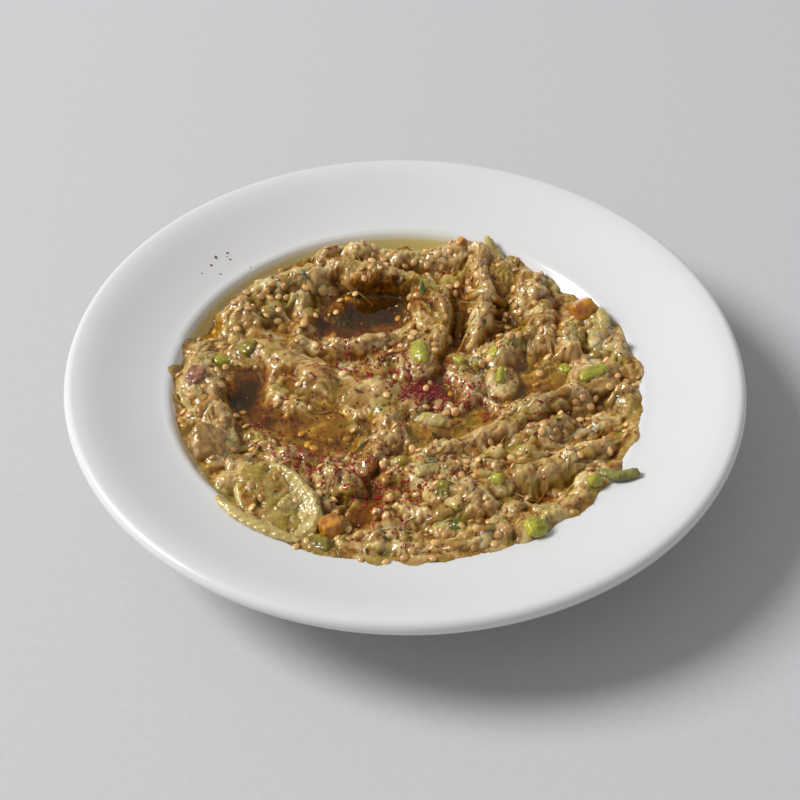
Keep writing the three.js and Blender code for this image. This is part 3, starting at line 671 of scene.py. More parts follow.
def under_face(steps):
    """The rest of the section: round the lip, under the rim and round the foot ring."""
    turn = np.linspace(math.pi / 2, -math.pi / 3, steps + 1)[1:]
    middle = np.array([PLATE_RADIUS - LIP_ROUND, LIP_HEIGHT - LIP_ROUND])
    lip = middle + LIP_ROUND * np.stack([np.cos(turn), np.sin(turn)], 1)
    bend = (SHOULDER_RADIUS + 4.5, SHOULDER_HEIGHT - 3.6)
    foot = (FOOT_RADIUS + 2, FOOT_HEIGHT + 0.4)
    inner = FOOT_RADIUS - FOOT_WIDTH
    ring = [
        (FOOT_RADIUS, 0.7), (FOOT_RADIUS - 0.25, 0.2), (FOOT_RADIUS - 0.7, 0),
        (inner + 0.9, 0), (inner + 0.3, 0.25), (inner, 0.9),
        (inner - 1.2, FOOT_HEIGHT), (inner - 2.2, FOOT_HEIGHT), (0, FOOT_HEIGHT),
    ]
    return np.vstack([
        lip,
        bezier(lip[-1], (PLATE_RADIUS - 7, LIP_HEIGHT - 7.4), (PLATE_RADIUS - 20, LIP_HEIGHT - 11.5),
               bend, steps),
        bezier(bend, (SHOULDER_RADIUS - 4.5, SHOULDER_HEIGHT - 8.4), (FOOT_RADIUS + 18, FOOT_HEIGHT + 3.3),
               foot, steps),
        ring,
    ])


def turned_mesh(name, profile, segments, material):
    """A closed turned body from a profile that starts and ends on the axis."""
    ring = profile[1:-1]
    angle = np.arange(segments) * 2 * math.pi / segments
    places = [(0, 0, profile[0][1]), (0, 0, profile[-1][1])]
    for radius, height in ring:
        places += [(radius * c, radius * s, height) for c, s in zip(np.cos(angle), np.sin(angle))]
    piece = mesh_object(name, places, ring_faces(len(ring), segments, 2, (0, 1)), material)
    edited(piece.data, turn_outward)
    return piece


SECTION_STEPS = 12
WELL = upper_face(SECTION_STEPS)


def well_height(radius):
    """Height of the plate's upper face at a distance from its middle."""
    return np.interp(radius, WELL[:, 0], WELL[:, 1])


def soft_max(a, b, blend):
    """The larger of two heights, run into each other where they are close."""
    near = np.maximum(blend - np.abs(a - b), 0) / blend
    return np.maximum(a, b) + near * near * blend / 4


def soft_min(a, b, blend):
    """The smaller of two heights, run into each other where they are close."""
    return -soft_max(-a, -b, blend)


WAVE_COUNT = 11


def waves(x, y, length, seed, z=0.0):
    """A smooth uneven field with a spread of about 1, from waves in seeded directions."""
    draw = np.random.default_rng(seed)
    total = np.zeros_like(x)
    for _ in range(WAVE_COUNT):
        angle, phase = draw.uniform(0, 2 * math.pi, 2)
        lean = draw.uniform(-1, 1)
        turn = 2 * math.pi / (length * draw.uniform(0.55, 1.7))
        total += np.sin((x * math.cos(angle) + y * math.sin(angle) + z * lean) * turn + phase)
    return total / math.sqrt(WAVE_COUNT / 2)


def smooth_run(line, steps=6):
    """Places along a smooth curve through the given ones."""
    line = np.array(line, float)
    padded = np.vstack([2 * line[0] - line[1], line, 2 * line[-1] - line[-2]])
    share = np.linspace(0, 1, steps, endpoint=False)[:, None]
    run = []
    for a, b, c, d in zip(padded, padded[1:], padded[2:], padded[3:]):
        run.append(0.5 * (2 * b + (c - a) * share + (2 * a - 5 * b + 4 * c - d) * share**2
                          + (3 * b - a - 3 * c + d) * share**3))
    return np.vstack([*run, line[-1:]])


def nearest_on(line, x, y):
    """Distance to a line's smooth run, the height of the run there, and its direction."""
    run = smooth_run(line)
    best = np.full(x.shape, 1e9)
    height = np.zeros_like(x)
    heading = np.zeros_like(x)
    for a, b in zip(run, run[1:]):
        ahead = b - a
        passed = (x - a[0]) * ahead[0] + (y - a[1]) * ahead[1]
        share = np.clip(passed / (ahead[0] ** 2 + ahead[1] ** 2), 0, 1)
        across = np.hypot(x - a[0] - ahead[0] * share, y - a[1] - ahead[1] * share)
        closer = across < best
        best = np.where(closer, across, best)
        height = np.where(closer, a[2] + ahead[2] * share, height)
        heading = np.where(closer, math.atan2(ahead[1], ahead[0]), heading)
    return best, height, heading


def edge_radius(angle):
    """The mash edge's distance from the middle in any direction."""
    places = np.array(MASH_EDGE, float)
    turns = np.arctan2(places[:, 1], places[:, 0])
    order = np.argsort(turns)
    turns, reach = turns[order], np.hypot(*places[order].T)
    turns = np.concatenate([turns[-2:] - 2 * math.pi, turns, turns[:2] + 2 * math.pi])
    reach = np.concatenate([reach[-2:], reach, reach[:2]])
    before = np.clip(np.searchsorted(turns, angle) - 1, 0, len(turns) - 2)
    share = (angle - turns[before]) / (turns[before + 1] - turns[before])
    eased = share * share * (3 - 2 * share)
    return reach[before] + (reach[before + 1] - reach[before]) * eased


def at_places(field, x, y):
    """A raster field's value at any places, between its cells."""
    col = np.clip((np.asarray(x, float) + REACH) / CELL, 0, len(AXIS) - 1.001)
    row = np.clip((np.asarray(y, float) + REACH) / CELL, 0, len(AXIS) - 1.001)
    i, j = col.astype(int), row.astype(int)
    u, v = col - i, row - j
    low = field[i, j] * (1 - u) + field[i + 1, j] * u
    high = field[i, j + 1] * (1 - u) + field[i + 1, j + 1] * u
    return low * (1 - v) + high * v


def blurred(field, spread):
    """A raster field smoothed over the given distance."""
    count = int(3 * spread / CELL)
    weight = np.exp(-0.5 * (np.arange(-count, count + 1) * CELL / spread) ** 2)
    weight /= weight.sum()

    def smoothed(line):
        """One row or column of the field, smoothed."""
        return np.convolve(np.pad(line, count, "edge"), weight, "valid")

    return np.apply_along_axis(smoothed, 1, np.apply_along_axis(smoothed, 0, field))


def collar(node):
    """The height to which the mash is pressed up round a loose piece, and very low elsewhere."""
    share = next((up for start, up in BEDDING.items() if node.startswith(start)), None)
    if share is None:
        return np.full(GRID_X.shape, -REACH)
    low, high = (np.array(corner) * 1000 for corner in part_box(node))
    middle, half = (low + high) / 2, (high - low) / 2
    out = np.hypot((GRID_X - middle[0]) / half[0], (GRID_Y - middle[1]) / half[1]) - 0.8
    out = np.clip(out, 0, None) * min(half[0], half[1])
    top = low[2] + share * (high[2] - low[2]) - 0.5 * out
    return np.where(out < COLLAR, top, -REACH)


class Ground:
    """The mash's surface over the plate, as rasters.

    They hold its height, the way that its ridges run, its tint and streaks, how far inside its edge each
    place lies, and how calm it is, which is 1 where the mash is rough and less in pools and on the mound.
    """

    def __init__(self):
        radius = np.hypot(GRID_X, GRID_Y)
        wander = 1 + WANDER_SHARE * waves(GRID_X, GRID_Y, WANDER_WAVE, 1)
        height = np.full(GRID_X.shape, VALLEY_HEIGHT)
        closest = np.full(GRID_X.shape, 1e9)
        self.heading = np.zeros(GRID_X.shape)
        for half, line in RIDGES.values():
            across, crest, heading = nearest_on(line, GRID_X, GRID_Y)
            across = across / half * wander
            height = soft_max(height, crest - (crest - VALLEY_HEIGHT + 1) * across**2, CREST_BLEND)
            self.heading = np.where(across < closest, heading, self.heading)
            closest = np.minimum(closest, across)
        self.calm = np.ones(GRID_X.shape)
        for half, line in TROUGHS.values():
            across, bottom, _ = nearest_on(line, GRID_X, GRID_Y)
            across = across / half * wander
            side = TROUGH_STEEPNESS * np.maximum(0, across - TROUGH_FLAT) ** 2
            height = soft_min(height, bottom + side, TROUGH_BLEND)
            if half >= 5:
                self.calm = np.minimum(self.calm, np.clip((across - 0.3) / 0.6, 0.3, 1))
        mound = nearest_on(RIDGES["smooth mound"][1], GRID_X, GRID_Y)[0]
        self.calm = np.minimum(self.calm, np.clip(mound / 14, 0.45, 1))
        bare = height + 0.5 * waves(GRID_X, GRID_Y, 17, 2)
        self.inside = edge_radius(np.arctan2(GRID_Y, GRID_X)) - radius
        self.inside += 0.9 * waves(GRID_X, GRID_Y, 15, 3)
        self.wall = well_height(radius)
        self.tint = 0.25 * waves(GRID_X, GRID_Y, 16, 4)
        self.strand = self._strands()
        rough = bare + self._lumps()
        for node in LOOSE_NODES:
            rough = soft_max(rough, collar(node), PIECE_BLEND)
        full = np.clip(self.inside / 5, 0, 1)
        rough = soft_max(rough, self.wall + LEAST_COVER * full, PIECE_BLEND)
        self.height = self._edged(rough + 0.13 * self.strand * self.calm * full)
        self.tint = blurred(self.tint, 0.5)

    def _edged(self, height):
        """Rounds the mash off where it ends on the plate."""
        round_off = np.clip(1 - self.inside / EDGE_ROUND, 0, 1)
        low = self.wall - 0.6
        return low + (np.minimum(height, HIGHEST_CREST + 0.8) - low) * np.sqrt(1 - round_off**2)

    def _strands(self):
        """Fine streaks that follow the ridges, from scattered grain drawn out along their run."""
        draw = np.random.default_rng(12)
        grain = blurred(draw.normal(0, 1, GRID_X.shape), 0.3)
        heading = self.heading + 0.5 * waves(GRID_X, GRID_Y, 14, 13)
        east, north = np.cos(heading), np.sin(heading)
        total = np.zeros(GRID_X.shape)
        for way in (-STRAND_STEP, STRAND_STEP):
            x, y = GRID_X.copy(), GRID_Y.copy()
            for _ in range(STRAND_STEPS):
                total += at_places(grain, x, y)
                x, y = x + way * at_places(east, x, y), y + way * at_places(north, x, y)
        return np.clip(total / total.std(), -2.5, 2.5)

    def _lumps(self):
        """Lumps of three sizes pressed together, longer along the ridges than across, each with a tint."""
        draw = np.random.default_rng(7)
        bent_x = GRID_X + 0.9 * waves(GRID_X, GRID_Y, 9, 5) + 0.35 * waves(GRID_X, GRID_Y, 3, 6)
        bent_y = GRID_Y + 0.9 * waves(GRID_X, GRID_Y, 9, 8) + 0.35 * waves(GRID_X, GRID_Y, 3, 9)
        relief = np.zeros(GRID_X.shape)
        for count, lengths, widths, rises, stain, stray in LUMPS:
            layer = np.zeros(GRID_X.shape)
            for _ in range(count):
                angle, radius = draw.uniform(0, 2 * math.pi), LUMP_REACH * math.sqrt(draw.uniform())
                x, y = radius * math.cos(angle), radius * math.sin(angle)
                half, wide, rise = draw.uniform(*lengths), draw.uniform(*widths), draw.uniform(*rises)
                heading = at_places(self.heading, x, y) + draw.normal(0, stray)
                tint = draw.normal(0, stain)
                reach = int((half + 2) / CELL) + 1
                i, j = int((x + REACH) / CELL), int((y + REACH) / CELL)
                cut = tuple(slice(max(k - reach, 0), k + reach + 1) for k in (i, j))
                dx, dy = bent_x[cut] - x, bent_y[cut] - y
                along = (dx * math.cos(heading) + dy * math.sin(heading)) / half
                across = (dy * math.cos(heading) - dx * math.sin(heading)) / wide
                cap = rise * np.clip(1 - along**2 - across**2, 0, 1) ** 0.7
                above = cap > layer[cut]
                layer[cut] = np.where(above, cap, layer[cut])
                self.tint[cut] = np.where(above, self.tint[cut] * 0.55 + tint, self.tint[cut])
            if rises[1] < 1:
                layer *= np.clip(0.55 + 0.55 * waves(GRID_X, GRID_Y, 15, 10), 0.1, 1)
            relief += layer
        return (blurred(relief, 0.45) - SUNK) * self.calm

    def crease(self):
        """How deep each place lies below its surroundings, up to 1, plus the dark and pale places; the
        flesh paints shade and light from it.
        """
        near = (blurred(self.height, 0.9) - self.height) / 0.7
        wide = (blurred(self.height, 3.2) - self.height) / 2.6
        crease = np.clip(0.5 * near + 0.8 * wide, -0.6, 1)
        for level, (x, y) in POOLS.values():
            under = np.clip((level + 0.3 - self.height) / 0.6, 0, 1)
            crease = np.where(np.hypot(GRID_X - x, GRID_Y - y) < 30, crease * (1 - 0.9 * under), crease)
        crease *= np.clip(self.inside / 6, 0.3, 1)
        for (x, y), (wide, long), share in SHADES:
            crease += share * np.exp(-0.5 * (((GRID_X - x) / wide) ** 2 + ((GRID_Y - y) / long) ** 2))
        return crease


def stain_at(x, y):
    """How strongly the red spice has coloured a place."""
    total = np.zeros_like(x)
    for (cx, cy), (wide, long), share in STAINS:
        total += share * np.exp(-(((x - cx) / wide) ** 2 + ((y - cy) / long) ** 2))
    return total


def leaning(x, y, share, patch):
    """How far each place moves away from the viewer, by its share, fading out round a patch."""
    (cx, cy), (wide, long), move = patch
    return move * share * np.exp(-((x - cx) / wide) ** 4) * np.exp(-((y - cy) / long) ** 4)


def disc_grid(cells):
    """A square grid of cells bent into a disc: places within radius 1, the faces and the border loop."""
    line = np.linspace(-1, 1, cells + 1)
    u, v = np.meshgrid(line, line, indexing="ij")
    wide = np.abs(u) > np.abs(v)
    radius = np.where(wide, u, v)
    with np.errstate(divide="ignore", invalid="ignore"):
        angle = np.where(wide, v / u * math.pi / 4, math.pi / 2 - u / v * math.pi / 4)
    angle = np.nan_to_num(angle)
    x, y = radius * np.cos(angle), radius * np.sin(angle)
    index = np.arange((cells + 1) ** 2).reshape(cells + 1, cells + 1)
    faces = np.stack([index[:-1, :-1], index[1:, :-1], index[1:, 1:], index[:-1, 1:]], -1).reshape(-1, 4)
    border = np.concatenate([index[:-1, 0], index[-1, :-1], index[:0:-1, -1], index[0, :0:-1]])
    return x.ravel(), y.ravel(), faces, border


def mash_core(land, cells, material):
    """The body of the mash: its relief on top, and a plain underside that stays within the plate."""
    u, v, faces, border = disc_grid(cells)
    angle = np.arctan2(v, u)
    share = np.hypot(u, v)
    reach = edge_radius(angle) + 1.2
    x, y = share * reach * np.cos(angle), share * reach * np.sin(angle)
    z = at_places(land.height, x, y)
    fine = sum(rise * waves(x, y, length, seed) for rise, length, seed in FINE_RELIEF)
    z += fine * at_places(land.calm, x, y) * np.clip(at_places(land.inside, x, y) / 4, 0, 1)
    over = leaning(x, y, np.clip((z - OVERHANG_FOOT) / 5, 0, 1), OVERHANG)
    under = leaning(x, y, np.clip((OVERHANG_FOOT - z) / 3, 0, 1), UNDERCUT)
    y = y + over + under
    places = np.stack([x, y, z], 1)
    faces = [tuple(face) for face in faces]
    rim = places[border]
    rings = [border]
    for inset in UNDERSIDE_RINGS:
        low = rim * (inset, inset, 1)
        low[:, 2] = well_height(np.hypot(low[:, 0], low[:, 1])) - MASH_UNDER
        rings.append(np.arange(len(places), len(places) + len(border)))
        places = np.vstack([places, low])
    for outer, inner in zip(rings, rings[1:]):
        faces += zip(outer, np.roll(outer, -1), np.roll(inner, -1), inner)
    places = np.vstack([places, [(0, 0, FLOOR_HEIGHT - MASH_UNDER)]])
    faces += [(a, b, len(places) - 1) for a, b in zip(rings[-1], np.roll(rings[-1], -1))]
    piece = mesh_object("mash_core", places, faces, material)
    edited(piece.data, turn_outward)
    # The crease value carries painted shade for the creases and painted light for the crests of the flesh
    for key, field in (("crease", land.crease()), ("tone", land.tint), ("strand", land.strand)):
        store(piece, key, at_places(field, places[:, 0], places[:, 1]))
    store(piece, "stain", stain_at(places[:, 0], places[:, 1]))
    return piece


def loft(path, widths, thicknesses, rough, twist):
    """A closed strip along a path: an uneven oval section that is carried along it and slowly turned."""
    ahead = np.gradient(path, axis=0)
    ahead /= np.linalg.norm(ahead, axis=1)[:, None]
    side = np.cross((0, 0, 1), ahead)
    side /= np.linalg.norm(side, axis=1)[:, None]
    up = np.cross(ahead, side)
    sides = rough.shape[1]
    angle = np.arange(sides) * 2 * math.pi / sides
    flat = widths[:, None] / 2 * np.cos(angle) * rough
    tall = thicknesses[:, None] / 2 * np.sin(angle) * rough
    cos, sin = np.cos(twist)[:, None], np.sin(twist)[:, None]
    flat, tall = flat * cos - tall * sin, flat * sin + tall * cos
    rings = path[:, None] + side[:, None] * flat[..., None] + up[:, None] * tall[..., None]
    count = len(path)
    ends = [path[0] - ahead[0] * thicknesses[0] / 2, path[-1] + ahead[-1] * thicknesses[-1] / 2]
    places = np.vstack([rings.reshape(-1, 3), ends])
    faces = []
    for k in range(sides):
        m = (k + 1) % sides
        faces.append((count * sides, m, k))
        faces.append((count * sides + 1, (count - 1) * sides + k, (count - 1) * sides + m))
        for row in range(count - 1):
            faces.append((row * sides + k, row * sides + m, (row + 1) * sides + m, (row + 1) * sides + k))
    return places, faces


class Heap:
    """Many small closed shapes that become one mesh, with a tone stored for each."""

    def __init__(self):
        self.places, self.faces, self.tones = [], [], []
        self.count = 0

    def add(self, places, faces, tone):
        """Takes in one more shape."""
        self.faces += [tuple(index + self.count for index in face) for face in faces]
        self.places.append(places)
        self.tones += [tone] * len(places)
        self.count += len(places)

    def mesh(self, name, material):
        """Makes the mesh object, with the crease values for painted shade and the stains of the ground
        under each place.
        """
        places = np.vstack(self.places)
        piece = mesh_object(name, places, self.faces, material)
        store(piece, "tone", self.tones)
        store(piece, "crease", at_places(ground().crease(), places[:, 0], places[:, 1]) * 0.6)
        store(piece, "stain", stain_at(places[:, 0], places[:, 1]) * 0.8)
        return piece


def cad_boxes(names, grow):
    """The boxes of CAD nodes as seen from above, grown a little, in millimetres."""
    boxes = []
    for name in names:
        low, high = (np.array(corner) * 1000 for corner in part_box(name))
        boxes.append((low[0] - grow, high[0] + grow, low[1] - grow, high[1] + grow))
    return boxes


def within(boxes, x, y):
    """Whether a place is in any of the boxes."""
    return any(x0 < x < x1 and y0 < y < y1 for x0, x1, y0, y1 in boxes)


def mash_shreds(name, kind, material, seed):
    """Shreds of flesh half sunk in the mash, most of them along its ridges."""
    count, lengths, widths, flatness, lift, sides = kind
    draw = np.random.default_rng(seed)
    heap = Heap()
    blocked = cad_boxes(LOOSE_NODES, -0.5)
    land = ground()
    made = 0
    while made < count:
        angle, radius = draw.uniform(0, 2 * math.pi), math.sqrt(draw.uniform()) * SHRED_REACH
        x, y = radius * math.cos(angle), radius * math.sin(angle)
        length, width = draw.uniform(*lengths), draw.uniform(*widths)
        thickness = width * draw.uniform(*flatness)
        steps = max(6, int(length / SHRED_STEP))
        turn = draw.normal(0, 0.45)
        bend = draw.normal(0, 0.05)
        path = []
        for _ in range(steps):
            heading = at_places(land.heading, x, y) + turn
            x += math.cos(heading) * length / steps
            y += math.sin(heading) * length / steps
            turn += bend + draw.normal(0, 0.08)
            path.append((x, y, at_places(land.height, x, y)))
        path = np.array(path)
        fits = at_places(land.inside, path[:, 0], path[:, 1]).min() > width / 2 + 0.5
        open_ground = at_places(land.calm, path[:, 0], path[:, 1]).min() > 0.5
        if not fits or not open_ground or within(blocked, *path[len(path) // 2, :2]):
            continue
        path[:, 2] = np.convolve(np.pad(path[:, 2], 3, "edge"), np.ones(7) / 7, "valid")
        share = np.linspace(0, 1, steps)
        arch = np.sin(math.pi * share) ** 0.7
        path[:, 2] += thickness * (draw.uniform(*lift) * arch - 0.5 * (1 - arch))
        uneven = 1 + 0.3 * np.sin(share * draw.uniform(5, 16) + draw.uniform(0, 6))
        narrow = np.clip(np.sin(math.pi * (0.1 + 0.8 * share)), 0, 1) ** draw.uniform(0.2, 0.8) * uneven
        rough = 1 + 0.13 * draw.normal(0, 1, (steps, sides)).clip(-1.7, 1.7)
        rough = (rough * 2 + np.roll(rough, 1, 0) + np.roll(rough, 1, 1) + np.roll(rough, -1, 1)) / 5
        twist = draw.normal(0, 0.35) + draw.normal(0, 0.5) * share
        places, faces = loft(path, width * narrow, thickness * narrow, rough, twist)
        heap.add(places, faces, draw.normal(0, 1))
        made += 1
    piece = heap.mesh(name, material)
    soften(piece, 1)
    return piece


def soften(piece, levels):
    """Rounds a piece with subdivision and keeps the result as its mesh."""
    rounding = piece.modifiers.new("rounding", "SUBSURF")
    rounding.levels = rounding.render_levels = levels
    keep_result(piece)


def keep_result(piece):
    """Turns what a piece's modifiers make into its own mesh, and removes them."""
    bpy.context.view_layer.update()
    shape = bpy.data.meshes.new_from_object(piece.evaluated_get(bpy.context.evaluated_depsgraph_get()))
    piece.modifiers.clear()
    old = piece.data
    piece.data = shape
    bpy.data.meshes.remove(old)
    shape.name = piece.name


def remeshed(piece, voxel, passes, factor):
    """Gives a piece a mesh of even cells and smooths it."""
    remesh = piece.modifiers.new("even mesh", "REMESH")
    remesh.mode = "VOXEL"
    remesh.voxel_size = voxel * METRES
    calm = piece.modifiers.new("rounding", "SMOOTH")
    calm.factor = factor
    calm.iterations = passes
    keep_result(piece)


def fine_piece(node, material, passes, rough):
    """A vegetable piece in its CAD form, rounded, with a surface that is a little uneven."""
    piece = new_object(node + "_fine", frame["nodes"][node].data.copy())
    edited(piece.data, join_doubles)
    remeshed(piece, FINE_VOXEL, passes, FINE_SMOOTHING)
    mesh = piece.data
    places, normals = vertex_rows(mesh) / METRES, vertex_rows(mesh, "normal")
    x, y, z = places.T
    seed = sum(ord(letter) for letter in node)
    push = rough * waves(x, y, FINE_WAVE, seed, z)
    push += rough * 0.4 * waves(x, y, FINE_WAVE * 0.35, seed + 1, z)
    places += normals * (push + FINE_SWELL)[:, None]
    mesh.vertices.foreach_set("co", (places * METRES).ravel())
    mesh.materials.clear()
    mesh.materials.append(material)
    mesh.shade_smooth()
    mesh.update()
    return piece


def grown(found):
    """A set of raster cells with all its neighbours."""
    wider = found.copy()
    wider[1:] |= found[:-1]
    wider[:-1] |= found[1:]
    wider[:, 1:] |= found[:, :-1]
    wider[:, :-1] |= found[:, 1:]
    return wider


def flooded(level, bed, start):
    """The raster cells below a level that are joined to a starting cell."""
    low = bed < level
    found = np.zeros(low.shape, bool)
    found[start] = True
    while True:
        wider = grown(found) & low
        if (wider == found).all():
            return found
        found = wider


def oil_sheet(name, level, found, bed, material, deep, creep=2):
    """A body of oil over raster cells: level on top, its bed below, and its border up the shore."""
    for _ in range(creep):
        found = grown(found)
    number = -np.ones(found.shape, int)
    number[found] = np.arange(found.sum())
    x, y = GRID_X[found], GRID_Y[found]
    over = np.clip(bed[found] - level, 0, None)
    film = FILM_LEAST + FILM_RISE * np.exp(-over / FILM_FADE)
    top = np.stack([x, y, np.maximum(level, bed[found] + film)], 1)
    base = np.stack([x, y, np.minimum(bed[found] - 0.25, level - 0.15)], 1)
    count = len(top)
    square = found[:-1, :-1] & found[1:, :-1] & found[1:, 1:] & found[:-1, 1:]
    corners = (number[:-1, :-1], number[1:, :-1], number[1:, 1:], number[:-1, 1:])
    quads = np.stack([corner[square] for corner in corners], 1)
    edges = dict.fromkeys((a, b) for quad in quads for a, b in zip(quad, np.roll(quad, -1)))
    border = [edge for edge in edges if (edge[1], edge[0]) not in edges]
    faces = [tuple(quad) for quad in quads]
    faces += [tuple(quad[::-1] + count) for quad in quads]
    faces += [(b, a, a + count, b + count) for a, b in border]
    piece = mesh_object(name, np.vstack([top, base]), faces, material)
    edited(piece.data, drop_loose)
    places = vertex_rows(piece.data) / METRES
    thick = level - at_places(bed, places[:, 0], places[:, 1])
    thick = np.maximum(thick, 0) + SHORE_TINT * np.exp(np.minimum(thick, 0) / 0.5)
    store(piece, "depth", np.clip(thick / deep, 0, 1))
    return piece


def scatter_tree(name, material, shape):
    """A Geometry Nodes tree that scatters small shapes over a mesh by a stored weight."""
    tree = bpy.data.node_groups.new(name, "GeometryNodeTree")
    tree.interface.new_socket("Geometry", in_out="INPUT", socket_type="NodeSocketGeometry")
    for label, kind in (("Spacing", "Float"), ("Density", "Float"), ("Size", "Vector"), ("Spread", "Float"),
                        ("Lift", "Float"), ("Tilt", "Float"), ("Seed", "Int")):
        tree.interface.new_socket(label, in_out="INPUT", socket_type="NodeSocket" + kind)
    tree.interface.new_socket("Geometry", in_out="OUTPUT", socket_type="NodeSocketGeometry")

    def add(kind, settings=None, **links):
        """Adds a node; a link's key is the socket's name, or n and its number where names repeat."""
        made = tree.nodes.new(kind)
        for key, value in (settings or {}).items():
            setattr(made, key, value)
        for key, value in links.items():
            numbered = key[0] == "n" and key[1:].isdigit()
            socket = made.inputs[int(key[1:]) if numbered else key.replace("_", " ")]
            if isinstance(value, bpy.types.NodeSocket):
                tree.links.new(value, socket)
            else:
                socket.default_value = value
        return made

    given = tree.nodes.new("NodeGroupInput").outputs
    weight = add("GeometryNodeInputNamedAttribute", {"data_type": "FLOAT"}, Name="weight")
    points = add(
        "GeometryNodeDistributePointsOnFaces", {"distribute_method": "POISSON"}, Mesh=given["Geometry"],
        Distance_Min=given["Spacing"], Density_Max=given["Density"],
        Density_Factor=weight.outputs["Attribute"], Seed=given["Seed"])
    lean = add("ShaderNodeVectorMath", {"operation": "SCALE"}, n0=(1, 1, 0), Scale=given["Tilt"])
    least = add("ShaderNodeVectorMath", {"operation": "SCALE"}, n0=lean.outputs[0], Scale=-1.0)
    highest = add("ShaderNodeVectorMath", {"operation": "ADD"}, n0=lean.outputs[0], n1=(0, 0, 2 * math.pi))
    turn = add(
        "FunctionNodeRandomValue", {"data_type": "FLOAT_VECTOR"}, n0=least.outputs[0],
        n1=highest.outputs[0], Seed=given["Seed"])
    euler = add("FunctionNodeEulerToRotation", None, n0=turn.outputs[0])
    rotation = add(
        "FunctionNodeRotateRotation", {"rotation_space": "LOCAL"}, n0=points.outputs["Rotation"],
        n1=euler.outputs[0])
    smaller = add("ShaderNodeMath", {"operation": "SUBTRACT"}, n0=1.0, n1=given["Spread"])
    larger = add("ShaderNodeMath", {"operation": "ADD"}, n0=1.0, n1=given["Spread"])
    scale = add(
        "FunctionNodeRandomValue", {"data_type": "FLOAT"}, n2=smaller.outputs[0], n3=larger.outputs[0],
        Seed=given["Seed"])
    lift = add(
        "ShaderNodeVectorMath", {"operation": "SCALE"}, n0=points.outputs["Normal"], Scale=given["Lift"])
    raised = add("GeometryNodeSetPosition", None, Geometry=points.outputs["Points"], Offset=lift.outputs[0])
    if shape == "seed":
        ball = add("GeometryNodeMeshUVSphere", None, Radius=0.5, Segments=9, Rings=6)
    else:
        ball = add("GeometryNodeMeshIcoSphere", None, Radius=0.5)
    sized = add("GeometryNodeTransform", None, Geometry=ball.outputs["Mesh"], Scale=given["Size"])
    copies = add(
        "GeometryNodeInstanceOnPoints", None, Points=raised.outputs[0], Instance=sized.outputs[0],
        Rotation=rotation.outputs[0], Scale=scale.outputs[1])
    shade = add("FunctionNodeRandomValue", {"data_type": "FLOAT"}, Seed=77)
    toned = add(
        "GeometryNodeStoreNamedAttribute", {"data_type": "FLOAT", "domain": "INSTANCE"},
        Geometry=copies.outputs[0], Name="tone", Value=shade.outputs[1])
    real = add("GeometryNodeRealizeInstances", None, Geometry=toned.outputs[0])
    smooth = add("GeometryNodeSetShadeSmooth", None, n0=real.outputs[0])
    smooth.inputs["Shade Smooth"].default_value = shape == "seed"
    dressed = add("GeometryNodeSetMaterial", None, Geometry=smooth.outputs[0], Material=material)
    out = tree.nodes.new("NodeGroupOutput")
    tree.links.new(dressed.outputs[0], out.inputs[0])
    return tree


def scatter(name, beds, weight, tree, settings):
    """Runs a scatter tree over a joined copy of some meshes and keeps what it makes."""
    mesh = bpy.data.meshes.new(name)
    edited(mesh, sources=[bed.data for bed in beds])
    piece = new_object(name, mesh)
    x, y, _ = vertex_rows(mesh).T / METRES
    facing = np.clip((vertex_rows(mesh, "normal")[:, 2] - 0.15) / 0.5, 0, 1)
    store(piece, "weight", np.clip(weight(x, y) * facing, 0, 1))
    scattering = piece.modifiers.new("scatter", "NODES")
    scattering.node_group = tree
    for item in tree.interface.items_tree:
        if item.item_type == "SOCKET" and item.in_out == "INPUT" and item.name in settings:
            scattering[item.identifier] = settings[item.name]
    keep_result(piece)
    piece.data.materials.clear()
    piece.data.materials.append(tree.nodes["Set Material"].inputs["Material"].default_value)
    return piece


def place_piece(piece, nodes):
    """Lets a finished piece ride on the body and stand for its nodes."""
    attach(piece, "root")
    if nodes:
        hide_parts(*nodes)


WORK = {}


def ground():
    """The mash's surface, worked out once."""
    if "ground" not in WORK:
        WORK["ground"] = Ground()
    return WORK["ground"]


class GANOUSH_OT_plate(bpy.types.Operator):
    """Turn the porcelain plate"""

    bl_idname = "ganoush.plate"
    bl_label = "Plate"

    def execute(self, context):
        settings = context.scene.ganoush_plate
        profile = np.vstack([WELL, under_face(SECTION_STEPS)])
        glaze = glazed_porcelain(tuple(settings.glaze))
        piece = turned_mesh("plate_glazed", profile, settings.segments, glaze)
        place_piece(piece, ["plate"])
        return {"FINISHED"}


class GANOUSH_OT_mash(bpy.types.Operator):
    """Model the mash and the shreds of flesh over it"""

    bl_idname = "ganoush.mash"
    bl_label = "Mash"

    def execute(self, context):
        settings = context.scene.ganoush_mash
        tones = [tuple(colour) for colour in (settings.pale, settings.middle, settings.dark)]
        core = mash_core(ground(), settings.cells, wet_flesh("aubergine mash", *tones))
        place_piece(core, ["mash"])
        finish = wet_flesh("aubergine shreds", *tones, fibre=0.35)
        flaps = mash_shreds("mash_flaps", (settings.flaps, *FLAPS), finish, 31)
        place_piece(flaps, [])
        fibres = mash_shreds("mash_fibres", (settings.fibres, *FIBRES), finish, 32)
        place_piece(fibres, [])
        pulp = shell_pulp(finish)
        place_piece(pulp, [])
        WORK["beds"] = [core, flaps, pulp]
        return {"FINISHED"}


